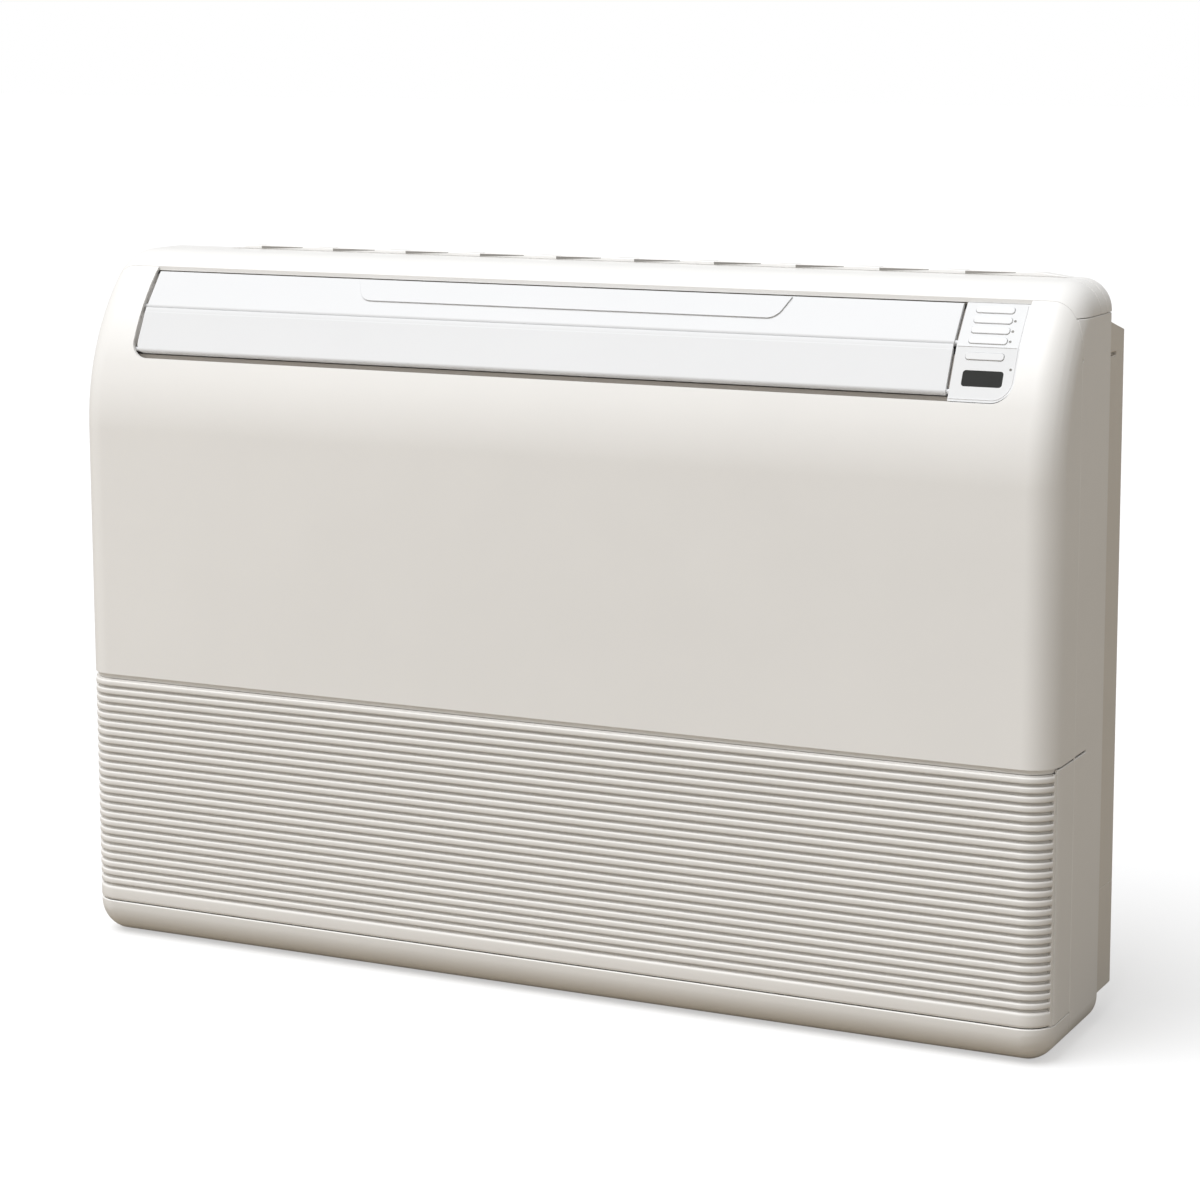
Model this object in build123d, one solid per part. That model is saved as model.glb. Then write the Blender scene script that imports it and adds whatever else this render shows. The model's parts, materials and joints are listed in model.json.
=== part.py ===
from build123d import *
import math
import os

# Floor console air conditioner, in millimetres: X to the right, Y to the back, Z up.
# The origin lies on the floor under the middle of the cabinet. Depths are measured back
# from the flat front of the cabinet.

# Cabinet
WIDTH = 975.0             # over the two side panels
DEPTH = 199.0             # front face to the wall
CAP_TOP = 662.5           # flat top of the cap above the floor
SKIN = 3.0                # wall of the moulded covers
EDGE_RADIUS = 27.0        # rounding between the front, top and bottom and the two sides
BASE_RADIUS = 33.0        # the front turns under at the floor
KNEE_RADIUS = 215.0       # backward sweep of the upper front
KNEE_DROP = 165.5         # the sweep starts this far below the cap's top
CAP_RADIUS = 62.0         # front edge of the cap
SHELL_DEPTH = 141.6       # covers end and the rear casing begins
SEAM_DEPTH = 62.5         # front mouldings end, cap and side panels begin
SEAM = 0.6                # joint line between covers
CLEAR = 0.4               # covers to what lies behind them
RAIL_HEIGHT = 34.3        # base rail
SKIRT_DROP = 28.5         # the cap's side skirts reach this far down
OVERRUN = 1.0             # cutters run this far past a face

# Intake grille
RIB_COUNT = 25
RIB_PITCH = 8.175
RIB_SLOT = 2.4            # air slot between two crests
CREST_DEPTH = 2.7         # how far a crest stands out of its slot
CREST_FLAT = 1.3          # half the height of a crest's flat front
BLADE_DEPTH = 8.0         # front of a crest to the back of its web
WEB = 2.2                 # blade web
WEB_CLIMB = 3.8           # a web's back edge lies this far above its crest
WRAP_ANGLE = 66.0         # how far the ribs turn round each corner, in degrees
WRAP_FACETS = 4           # short flats that the ribs turn the corner in
FOOT_HEIGHT = 15.1        # plain strip under the ribs
HINGE_BEAD = 3.0          # radius of the bead that the grille turns on
STILE = 3.0               # upright bars behind the blades
STILE_COUNT = 3
STILE_BACK = 3.0          # stiles reach this far behind the blades
SHADOW_GAP = 5.2          # open line between the grille and the front panel

# Air filters and inner housings
FILTER_SETBACK = 5.5      # stiles to filters
FILTER = 5.0              # filter frame thickness
FILTER_BORDER = 9.0
FILTER_MESH = 1.0
FILTER_MARGIN = 8.0       # filters stop short of the housing's edge
HOUSING_INSET = 18.0      # inner housings stop short of the cabinet's sides

# Outlet, louvers and control panel
OUTLET_LEFT = 54.5        # cabinet's left side to the outlet
OUTLET_RIGHT = 44.5       # outlet to the cabinet's right side
OUTLET_DROP = 97.5        # lower edge of the outlet below the cap's top
OUTLET_LEFT_CORNER = 16.0
OUTLET_RIGHT_CORNER = 20.0
CREASE_DROP = 52.5        # line between the two louvers below the cap's top
LOUVER_TOP_DROP = 18.2
LOUVER_RECESS = 1.8       # louvers lie this far inside the cabinet's front
LOUVER_TOP_RECESS = 1.6
LOUVER_GAP = 3.0          # louvers to what surrounds them
LOUVER_BEAD = 3.5         # radius at the hinge edge
LOUVER_TIP = 2.0          # radius at the free edge
PIN_RADIUS = 2.2
PIN_LENGTH = 7.0
PIN_PLAY = 0.08
TAB_WIDTH = 437.0         # raised tab on the upper louver
TAB_HEIGHT = 19.0
TAB_SLANT = 15.0
TAB_CORNER = 11.0
TAB_RISE = 1.2
TAB_OFFSET = 8.5          # tab centre right of the cabinet's middle
DUCT_WALL = 4.5
COIL = 10.0               # thickness of the coil behind the duct
DUCT_LIP = 2.5            # duct floor below the outlet's lower edge
ROOF_DEPTH = 68.0
ROOF_DROP = 22.0
VANE_COUNT = 13
VANE_SETBACK = 18.0       # upright vanes to the coil
VANE_LENGTH = 26.0
VANE_NOSE = 6.0           # the vanes thin towards their front edge over this length
VANE = 2.0
VANE_RAIL = 4.0
VANE_RAIL_HEIGHT = 6.0

CONTROL_WIDTH = 57.0
BUTTON_WIDTH = 34.0
BUTTON_HEIGHT = 6.5
BUTTON_CORNER = 2.7
BUTTON_PITCH = 10.2
BUTTON_INSET = 9.5        # control panel's left edge to the buttons
BUTTON_CREASE_GAP = 6.0   # crease to the middle of the lowest upper button
BUTTON_RISE = 0.9
BUTTON_BODY = 3.0
BUTTON_PLAY = 0.3
BUTTON_POCKET = 5.0
LOWER_BUTTON = 8.7        # crease down to the lower button
LAMP_RADIUS = 1.3
LAMP_SIDES = 10
LAMP_GAP = 2.4            # button's end to the lamp's centre
LAMP_LENGTH = 3.0
DISPLAY_WIDTH = 36.0
DISPLAY_HEIGHT = 14.5
DISPLAY_CORNER = 2.8
DISPLAY_DROP = 28.5       # crease down to the display's centre
DISPLAY_THICK = 1.6
DISPLAY_SINK = 0.3
PILOT_DROP = 19.3
PILOT_INSET = 6.0         # control panel's right edge to the pilot lamp

# Cap top and rear casing
RIDGE_SETBACKS = (31.6, 12.6)    # grooves over the cap, ahead of its back edge
RIDGE_WIDTH = 1.4
RIDGE_SINK = 0.8
RIM_HEIGHT = 3.5
RIM_LEFT = 92.5           # cabinet's left side to the slotted rim
RIM_RIGHT = 32.5
RIM_WIDTH = 12.6
RIM_SLOPE = 26.0
SLOT_COUNT = 10
SLOT_LENGTH = 60.0
SLOT_WIDTH = 5.0
SLOT_SINK = 2.5
REAR_INSET = 4.0          # rear casing inside the side panels
REAR_FOOT = 25.0
REAR_TOP_DROP = 35.5
REAR_SLOPE = 14.0         # casing's top falls this much towards the wall
REAR_ROUND = 8.0
BACK_DROP = 64.5          # sheet behind the cap reaches this far down
BAY_TOP = 120.0           # top of the pipe bay
PORT_RADIUS = 32.5        # hole for the pipes
PORT_LENGTH = 45.0
PORT_X = 330.0
PORT_Z = 72.0
BOLT_RADIUS = 4.5
BOLT_DEPTH = 16.0
BOLT_SPAN = 800.0
BOLT_RISE = 380.0
BOLT_LOW = 190.0          # lower bolts above the floor
HANGER_LENGTH = 23.0
HANGER_HEIGHT = 3.6
HANGER_SINK = 4.0
HANGER_SETBACK = 6.0      # seam of the rear casing to the hanger slot
HANGER_DROP = 69.0
SLIT_LENGTH = 32.0        # shadow line running on into the side panels
SLIT_HEIGHT = 1.8
NOTCH = 2.2               # release notch in each side panel's front edge
NOTCH_DROP = 64.5

# Worked out from the sizes above
HALF = WIDTH / 2
KNEE_Z = CAP_TOP - KNEE_DROP
CAP_CENTRE_Z = CAP_TOP - CAP_RADIUS
KNEE_ANGLE = math.asin((CAP_CENTRE_Z - KNEE_Z) / (KNEE_RADIUS - CAP_RADIUS))
CAP_CENTRE_DEPTH = KNEE_RADIUS - (KNEE_RADIUS - CAP_RADIUS) * math.cos(KNEE_ANGLE)
GRILLE_BOTTOM = RAIL_HEIGHT + SEAM
HINGE_Z = GRILLE_BOTTOM + HINGE_BEAD
RIBS_BOTTOM = GRILLE_BOTTOM + FOOT_HEIGHT
GRILLE_TOP = RIBS_BOTTOM + RIB_COUNT * RIB_PITCH
PANEL_BOTTOM = GRILLE_TOP + SHADOW_GAP
CHEEK_TOP = PANEL_BOTTOM - SLIT_HEIGHT
STILE_ANGLE = math.degrees(STILE / EDGE_RADIUS)
CHEEK_ANGLE = WRAP_ANGLE + STILE_ANGLE + math.degrees(SEAM / EDGE_RADIUS)
FILTER_FRONT = BLADE_DEPTH + STILE_BACK + FILTER_SETBACK
HOUSING_FRONT = FILTER_FRONT + FILTER + CLEAR
HOUSING_HALF = HALF - HOUSING_INSET
OUTLET_X = (-HALF + OUTLET_LEFT, HALF - OUTLET_RIGHT)
OUTLET_BOTTOM = CAP_TOP - OUTLET_DROP
DUCT_BACK = SHELL_DEPTH - SKIN - CLEAR - COIL
VANE_DEPTH = DUCT_BACK - VANE_SETBACK - VANE_LENGTH
RIM_DEPTH = SHELL_DEPTH - RIM_WIDTH
CONTROL_X = OUTLET_X[1] - CONTROL_WIDTH
CONTROL_BACK = SEAM_DEPTH - SEAM / 2
LOUVER_X = (OUTLET_X[0] + LOUVER_GAP, CONTROL_X - LOUVER_GAP)
CREASE_Z = CAP_TOP - CREASE_DROP
DUCT_FLOOR = OUTLET_BOTTOM - DUCT_LIP
ROOF_Z = CAP_TOP - ROOF_DROP
SKIRT_Z = CAP_TOP - SKIRT_DROP
SIDE = Plane(origin=(0, -DEPTH / 2, 0), x_dir=(0, 1, 0), z_dir=(1, 0, 0))
ALL_X = (-HALF - OVERRUN, HALF + OVERRUN)


def along_x(section, x_low, x_high):
    """Extrude a side section, drawn as depth and height, between two X stations."""
    return extrude(SIDE.offset(x_low) * section, amount=x_high - x_low, dir=(1, 0, 0))


def block(x, depth, z):
    """Box between two X stations, two depths and two heights."""
    middle = ((x[0] + x[1]) / 2, (depth[0] + depth[1] - DEPTH) / 2, (z[0] + z[1]) / 2)
    return Pos(*middle) * Box(x[1] - x[0], depth[1] - depth[0], z[1] - z[0])


def front_depth(z, inset):
    """Depth of the cabinet's front at a height, on a surface lying inset inside it."""
    rise = z - KNEE_Z
    if rise <= 0:
        return inset
    if rise <= (KNEE_RADIUS - inset) * math.sin(KNEE_ANGLE):
        return KNEE_RADIUS - math.sqrt((KNEE_RADIUS - inset) ** 2 - rise ** 2)
    return CAP_CENTRE_DEPTH - math.sqrt((CAP_RADIUS - inset) ** 2 - (z - CAP_CENTRE_Z) ** 2)


def side_outline(inset, rear):
    """Side outline of the cabinet, lying inset inside it, from the front to a rear depth."""
    sweep = math.degrees(KNEE_ANGLE)
    top = CAP_TOP - inset
    return make_face([
        CenterArc((BASE_RADIUS, BASE_RADIUS), BASE_RADIUS - inset, 180, 90),
        Line((inset, BASE_RADIUS), (inset, KNEE_Z)),
        CenterArc((KNEE_RADIUS, KNEE_Z), KNEE_RADIUS - inset, 180, -sweep),
        CenterArc((CAP_CENTRE_DEPTH, CAP_CENTRE_Z), CAP_RADIUS - inset, 180 - sweep, sweep - 90),
        Line((CAP_CENTRE_DEPTH, top), (rear, top)),
        Line((rear, top), (rear, inset)),
        Line((rear, inset), (BASE_RADIUS, inset)),
    ])


def envelope(inset, rear):
    """Solid form of the cabinet lying inset inside its surface, its end edges rounded."""
    half = HALF - inset
    solid = along_x(side_outline(inset, rear), -half, half)
    reach = rear - DEPTH / 2
    ends = [
        edge for edge in solid.edges()
        if abs(abs(edge.center().X) - half) < CLEAR and edge.center().Y < reach - CLEAR
    ]
    return fillet(ends, EDGE_RADIUS - inset)


def outlet_outline(inset):
    """Front view of the outlet: open at the top, its two lower corners rounded."""
    left, right = OUTLET_X[0] + inset, OUTLET_X[1] - inset
    bottom, top = OUTLET_BOTTOM + inset, CAP_TOP + OVERRUN
    face = Polygon((left, bottom), (right, bottom), (right, top), (left, top), align=None)
    low = face.vertices().sort_by(Axis.Y)[:2].sort_by(Axis.X)
    face = fillet(low[0], OUTLET_LEFT_CORNER - inset)
    corner = face.vertices().sort_by(Axis.X)[-2:].sort_by(Axis.Y)[0]
    return fillet(corner, OUTLET_RIGHT_CORNER - inset)


def outlet_cutter(inset):
    """The outlet's outline run back through the front skin."""
    front = Plane(origin=(0, -DEPTH / 2 - OVERRUN, 0), x_dir=(1, 0, 0), z_dir=(0, -1, 0))
    return extrude(front * outlet_outline(inset), amount=CONTROL_BACK * 2, dir=(0, 1, 0))


def base_rail(cover):
    """Rail that the front stands on, turned under at the floor."""
    return cover & block(ALL_X, (-OVERRUN, SEAM_DEPTH - SEAM / 2), (-OVERRUN, RAIL_HEIGHT))


def front_panel(cover):
    """Large front moulding, cut out round the outlet."""
    region = block(ALL_X, (-OVERRUN, SEAM_DEPTH - SEAM / 2), (PANEL_BOTTOM, CAP_TOP))
    return (cover & region) - outlet_cutter(0)


def top_cap(cover):
    """Cap over the top, its skirts reaching down both sides."""
    depth = (SEAM_DEPTH + SEAM / 2, SHELL_DEPTH)
    cap = cover & block(ALL_X, depth, (SKIRT_Z, CAP_TOP + OVERRUN))
    skim = envelope(0, SHELL_DEPTH) - envelope(RIDGE_SINK, SHELL_DEPTH + OVERRUN)
    for setback in RIDGE_SETBACKS:
        front = SHELL_DEPTH - setback - RIDGE_WIDTH / 2
        cap -= skim & block(ALL_X, (front, front + RIDGE_WIDTH), (SKIRT_Z - OVERRUN, CAP_TOP + OVERRUN))
    return cap


def side_panel(cover, side):
    """Side panel between the front mouldings and the rear casing, side -1 left or 1 right."""
    inner, outer = side * (HALF - EDGE_RADIUS), side * (HALF + OVERRUN)
    x = (min(inner, outer), max(inner, outer))
    depth = (SEAM_DEPTH + SEAM / 2, SHELL_DEPTH)
    slit = block(x, (SEAM_DEPTH, SEAM_DEPTH + SLIT_LENGTH), (CHEEK_TOP, PANEL_BOTTOM))
    low = CAP_TOP - NOTCH_DROP
    notch = block(x, (SEAM_DEPTH, SEAM_DEPTH + NOTCH), (low, low + NOTCH))
    return (cover & block(x, depth, (-OVERRUN, SKIRT_Z - SEAM))) - slit - notch


def bottom_plate():
    """Floor of the cabinet between the side panels and behind the base rail."""
    reach = HALF - EDGE_RADIUS - SEAM
    return block((-reach, reach), (SEAM_DEPTH + SEAM / 2, SHELL_DEPTH), (0, SKIN))


def grille_cheek(side):
    """Plain strip from the end of the ribs to the cabinet's side, side -1 left or 1 right."""
    x = sorted((side * (HALF - SKIN), side * HALF))
    flat = block(x, (EDGE_RADIUS, SEAM_DEPTH - SEAM / 2), (GRILLE_BOTTOM, CHEEK_TOP))
    return flat + turned(upright(SKIN, CHEEK_TOP), side, CHEEK_ANGLE, 90)


def blade_section(z):
    """Rain louver blade: a crest on a web that climbs inwards and hides the slot."""
    half = (RIB_PITCH - RIB_SLOT) / 2
    web_top = z + half + WEB_CLIMB
    return make_face(Polyline(
        (CREST_DEPTH, z - half), (0, z - CREST_FLAT), (0, z + CREST_FLAT),
        (CREST_DEPTH, z + half), (BLADE_DEPTH, web_top), (BLADE_DEPTH, web_top - WEB),
        close=True,
    ))


def foot_section():
    """Plain strip under the ribs, narrowed at its lower edge to the bead that it turns on."""
    top = RIBS_BOTTOM - RIB_SLOT / 2
    return make_face(Polyline(
        (HINGE_BEAD / 2, GRILLE_BOTTOM + SEAM), (0, HINGE_Z), (0, top - CREST_DEPTH), (CREST_DEPTH, top),
        (BLADE_DEPTH, top), (BLADE_DEPTH, HINGE_Z + HINGE_BEAD), (HINGE_BEAD * 3 / 2, GRILLE_BOTTOM + SEAM),
        close=True,
    ))


def upright(thick, top):
    """Section of a plain wall from the grille's lower edge up."""
    middle = (thick / 2, (GRILLE_BOTTOM + top) / 2)
    return Pos(*middle) * Rectangle(thick, top - GRILLE_BOTTOM)


def turned(section, side, start, end):
    """Turn a front section round a corner from one angle to another, side -1 left or 1 right."""
    corner = side * (HALF - EDGE_RADIUS)
    axis = Axis((corner, EDGE_RADIUS - DEPTH / 2, 0), (0, 0, side))
    return revolve((SIDE.offset(corner) * section).rotate(axis, start), axis, end - start)


def corner_steps(section, side):
    """A front section at each step round a corner, side -1 left or 1 right."""
    corner = side * (HALF - EDGE_RADIUS)
    axis = Axis((corner, EDGE_RADIUS - DEPTH / 2, 0), (0, 0, side))
    face = SIDE.offset(corner) * section
    return [face.rotate(axis, WRAP_ANGLE * step / WRAP_FACETS) for step in range(WRAP_FACETS + 1)]


def wrapped(section):
    """Run a front section along the front and round both corners in short flats."""
    return loft(corner_steps(section, -1)[::-1] + corner_steps(section, 1), ruled=True)


def intake_grille():
    """Ribbed grille: blades wrapped round the corners, carried by uprights behind them."""
    corner = HALF - EDGE_RADIUS
    bead = Pos(HINGE_BEAD, HINGE_Z) * Circle(HINGE_BEAD)
    grille = wrapped(foot_section()) + along_x(bead, -corner, corner)
    for index in range(RIB_COUNT):
        grille += wrapped(blade_section(RIBS_BOTTOM + (index + 0.5) * RIB_PITCH))
    depth = (BLADE_DEPTH, BLADE_DEPTH + STILE_BACK)
    step = 2 * corner / (STILE_COUNT + 1)
    for index in range(STILE_COUNT):
        x = (index - (STILE_COUNT - 1) / 2) * step
        grille += block((x - STILE / 2, x + STILE / 2), depth, (HINGE_Z + HINGE_BEAD, GRILLE_TOP))
    for side in (-1, 1):
        grille += turned(upright(BLADE_DEPTH, GRILLE_TOP), side, WRAP_ANGLE, WRAP_ANGLE + STILE_ANGLE)
    return grille & block(ALL_X, (-OVERRUN, DEPTH), (GRILLE_BOTTOM - OVERRUN, GRILLE_TOP))


def air_filter(side):
    """Washable filter: a bordered mesh, side -1 left or 1 right."""
    x = sorted((side * SEAM, side * (HOUSING_HALF - FILTER_MARGIN)))
    z = (GRILLE_BOTTOM + FILTER_MARGIN, GRILLE_TOP - FILTER_MARGIN)
    depth = (FILTER_FRONT, FILTER_FRONT + FILTER)
    hole_x = (x[0] + FILTER_BORDER, x[1] - FILTER_BORDER)
    hole_z = (z[0] + FILTER_BORDER, z[1] - FILTER_BORDER)
    middle = FILTER_FRONT + FILTER / 2
    frame = block(x, depth, z) - block(hole_x, (0, DEPTH), hole_z)
    return frame + block(hole_x, (middle - FILTER_MESH / 2, middle + FILTER_MESH / 2), hole_z)


def blower_housing(core):
    """Lower housing behind the filters, standing in the base."""
    depth = (HOUSING_FRONT, DEPTH)
    return core & block((-HOUSING_HALF, HOUSING_HALF), depth, (0, PANEL_BOTTOM))


def coil_housing(core):
    """Upper housing behind the front panel, from the blowers up to the outlet duct."""
    z = (PANEL_BOTTOM + CLEAR, DUCT_FLOOR - DUCT_WALL)
    return core & block((-HOUSING_HALF, HOUSING_HALF), (0, DEPTH), z)


def duct_floor(core):
    """Floor of the outlet duct, on the coil housing."""
    z = (DUCT_FLOOR - DUCT_WALL + CLEAR, DUCT_FLOOR)
    return core & block((OUTLET_X[0], CONTROL_X), (0, DUCT_BACK), z)


def duct_roof(core):
    """Roof of the outlet duct, under the cap."""
    return core & block((OUTLET_X[0], CONTROL_X), (ROOF_DEPTH, DUCT_BACK), (ROOF_Z, CAP_TOP))


def duct_left_wall(core):
    """Left end of the duct, bored for the louver pins."""
    x = (OUTLET_X[0] - DUCT_WALL, OUTLET_X[0])
    wall = core & block(x, (0, DUCT_BACK), (DUCT_FLOOR - DUCT_WALL + CLEAR, ROOF_Z))
    return wall - pin_bores(x[0] - OVERRUN, x[1] + OVERRUN)


def duct_right_wall(core):
    """Right end of the duct, behind the control panel."""
    x = (CONTROL_X, CONTROL_X + DUCT_WALL)
    z = (DUCT_FLOOR - DUCT_WALL + CLEAR, ROOF_Z)
    return core & block(x, (CONTROL_BACK + CLEAR, DUCT_BACK), z)


def evaporator_coil(core):
    """Finned coil that closes the back of the duct."""
    x = (OUTLET_X[0] - DUCT_WALL, CONTROL_X + DUCT_WALL)
    z = (DUCT_FLOOR - DUCT_WALL + CLEAR, CAP_TOP)
    return core & block(x, (DUCT_BACK, SHELL_DEPTH - SKIN - CLEAR), z)


def cap_back():
    """Sheet that closes the back of the cap above the rear casing."""
    sheet = envelope(SKIN + CLEAR, SHELL_DEPTH)
    return sheet & block(ALL_X, (SHELL_DEPTH - SKIN, SHELL_DEPTH), (CAP_TOP - BACK_DROP, CAP_TOP))


def vertical_vanes():
    """Upright vanes across the duct, thinned towards the front."""
    step = (CONTROL_X - OUTLET_X[0]) / VANE_COUNT
    rear = VANE_DEPTH + VANE_LENGTH
    half, nose = VANE / 2, VANE_DEPTH + VANE_NOSE
    outline = make_face(Polyline(
        (-half / 2, VANE_DEPTH), (half / 2, VANE_DEPTH), (half, nose), (half, rear), (-half, rear), (-half, nose),
        close=True,
    ))
    plan = Plane(origin=(0, -DEPTH / 2, DUCT_FLOOR))
    vane = extrude(plan * outline, amount=ROOF_Z - DUCT_FLOOR, dir=(0, 0, 1))
    places = [OUTLET_X[0] + (index + 0.5) * step for index in range(VANE_COUNT)]
    return Compound(children=[Pos(x, 0, 0) * vane for x in places])


def vane_rail():
    """Rod that ties the upright vanes together."""
    depth = VANE_DEPTH + VANE_LENGTH
    middle = (DUCT_FLOOR + ROOF_Z) / 2
    z = (middle - VANE_RAIL_HEIGHT / 2, middle + VANE_RAIL_HEIGHT / 2)
    return block(OUTLET_X[:1] + (CONTROL_X,), (depth, depth + VANE_RAIL), z)


def facet_points():
    """The lower edge, crease and upper edge of the two facets that fill the outlet."""
    low = OUTLET_BOTTOM + LOUVER_GAP * 2
    high = CAP_TOP - LOUVER_TOP_DROP
    return (
        Vector(front_depth(low, LOUVER_RECESS), low),
        Vector(front_depth(CREASE_Z, LOUVER_RECESS), CREASE_Z),
        Vector(front_depth(high, LOUVER_TOP_RECESS), high),
    )


def louver_ends(upper):
    """First and last point of a louver's front face, in the side view."""
    low, crease, high = facet_points()
    if upper:
        return crease + (high - crease).normalized() * (LOUVER_GAP / 2), high
    return low, crease - (crease - low).normalized() * (LOUVER_GAP / 2)


def louver_frame(upper):
    """Bead centre, tip centre, run and inward normal of a louver, in the side view."""
    start, end = louver_ends(upper)
    run = (end - start).normalized()
    inward = Vector(run.Y, -run.X)
    bead = start + run * LOUVER_BEAD + inward * LOUVER_BEAD
    tip = end - run * LOUVER_TIP + inward * LOUVER_TIP
    return bead, tip, run, inward


def pin_bores(x_low, x_high):
    """Cutters for both louvers' hinge pins."""
    bores = [
        along_x(Pos(louver_frame(upper)[0]) * Circle(PIN_RADIUS + PIN_PLAY), x_low, x_high)
        for upper in (False, True)
    ]
    return bores[0] + bores[1]


def louver_section(upper):
    """Blade section: a bead on the hinge axis tapering to a thin free edge."""
    bead, tip, run, inward = louver_frame(upper)
    spine = (tip - bead).normalized()
    front = inward * -1
    back = front - spine * (2 * front.dot(spine))
    back = back * -1
    return make_face([
        Line(bead + front * LOUVER_BEAD, tip + front * LOUVER_TIP),
        ThreePointArc(tip + front * LOUVER_TIP, tip + spine * LOUVER_TIP, tip + back * LOUVER_TIP),
        Line(tip + back * LOUVER_TIP, bead + back * LOUVER_BEAD),
        ThreePointArc(bead + back * LOUVER_BEAD, bead - spine * LOUVER_BEAD, bead + front * LOUVER_BEAD),
    ])


def louver(upper):
    """Louver blade with a pin at each end on its hinge axis."""
    blade = along_x(louver_section(upper), *LOUVER_X) & outlet_cutter(LOUVER_GAP)
    pin = Pos(louver_frame(upper)[0]) * Circle(PIN_RADIUS)
    return blade + along_x(pin, LOUVER_X[0] - PIN_LENGTH, LOUVER_X[1] + PIN_LENGTH)


def facet_plane(point, run, x):
    """Plane on a facet of the outlet: X to the right, Y up the facet, Z out of it."""
    return Plane(
        origin=(x, point.X - DEPTH / 2, point.Y),
        x_dir=(1, 0, 0),
        z_dir=(0, -run.Y, run.X),
    )


def upper_louver():
    """Upper louver with the raised tab that a hand pulls it open by."""
    start, end = louver_ends(True)
    plane = facet_plane(end, (end - start).normalized(), TAB_OFFSET)
    half = TAB_WIDTH / 2
    outline = Polygon(
        (-half, 0), (half, 0), (half - TAB_SLANT, -TAB_HEIGHT), (TAB_SLANT - half, -TAB_HEIGHT),
        align=None,
    )
    outline = fillet(outline.vertices().sort_by(Axis.Y)[:2], TAB_CORNER)
    outline = outline - Pos(0, -LOUVER_TIP / 2) * Rectangle(TAB_WIDTH, LOUVER_TIP)
    tab = extrude(plane.offset(-LOUVER_TIP / 2) * outline, amount=TAB_RISE + LOUVER_TIP / 2)
    return louver(True) + tab


def control_plane(upper):
    """Facet plane of the control panel at its left end of the crease."""
    low, crease, high = facet_points()
    run = high - crease if upper else crease - low
    return facet_plane(crease, run.normalized(), CONTROL_X)


def button_planes():
    """Planes at the middle of each button, from the top button down."""
    x = BUTTON_INSET + BUTTON_WIDTH / 2
    upper = [BUTTON_CREASE_GAP + index * BUTTON_PITCH for index in (3, 2, 1, 0)]
    planes = [control_plane(True) * Pos(x, y) for y in upper]
    return planes + [control_plane(False) * Pos(x, -LOWER_BUTTON)]


def lamp_places():
    """Middle of the lamp beside each of the three middle buttons."""
    reach = BUTTON_WIDTH / 2 + LAMP_GAP
    return [plane * Pos(reach, 0) for plane in button_planes()[1:4]]


def display_place():
    """Middle of the display on the lower facet."""
    return control_plane(False) * Pos(BUTTON_INSET + DISPLAY_WIDTH / 2, -DISPLAY_DROP)


def pilot_place():
    """Middle of the pilot lamp on the lower facet."""
    return control_plane(False) * Pos(CONTROL_WIDTH - PILOT_INSET, -PILOT_DROP)


def prism(place, outline, low, high):
    """Outline on a facet extruded from one height to another above the facet."""
    return place * Pos(0, 0, low) * extrude(outline, amount=high - low)


def control_panel():
    """Control panel at the outlet's right end, cut for its buttons, lamps and display."""
    low, crease, high = facet_points()
    foot = OUTLET_BOTTOM + SEAM
    start = low - (crease - low) * ((low.Y - foot) / (crease.Y - low.Y))
    section = make_face(Polyline(
        start, crease, high, (CONTROL_BACK, high.Y), (CONTROL_BACK, foot), close=True,
    ))
    panel = along_x(section, CONTROL_X, OUTLET_X[1] - SEAM) & outlet_cutter(SEAM)
    panel -= pin_bores(CONTROL_X - OVERRUN, CONTROL_X + PIN_LENGTH)
    pocket = RectangleRounded(
        BUTTON_WIDTH + 2 * BUTTON_PLAY, BUTTON_HEIGHT + 2 * BUTTON_PLAY, BUTTON_CORNER + BUTTON_PLAY,
    )
    for place in button_planes():
        panel -= prism(place, pocket, -BUTTON_POCKET, OVERRUN)
    for place in lamp_places() + [pilot_place()]:
        panel -= prism(place, RegularPolygon(LAMP_RADIUS, LAMP_SIDES), -LAMP_LENGTH, OVERRUN)
    window = RectangleRounded(DISPLAY_WIDTH, DISPLAY_HEIGHT, DISPLAY_CORNER)
    return panel - prism(display_place(), window, -DISPLAY_SINK - DISPLAY_THICK, OVERRUN)


def button(place):
    """Push button standing a little out of the control panel."""
    outline = RectangleRounded(BUTTON_WIDTH, BUTTON_HEIGHT, BUTTON_CORNER)
    return prism(place, outline, -BUTTON_BODY, BUTTON_RISE)


def lamp(place):
    """Small round lens, flush with the control panel."""
    return prism(place, RegularPolygon(LAMP_RADIUS, LAMP_SIDES), -LAMP_LENGTH, 0)


def display_window():
    """Dark window of the display."""
    window = RectangleRounded(DISPLAY_WIDTH, DISPLAY_HEIGHT, DISPLAY_CORNER)
    return prism(display_place(), window, -DISPLAY_SINK - DISPLAY_THICK, -DISPLAY_SINK)


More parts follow.
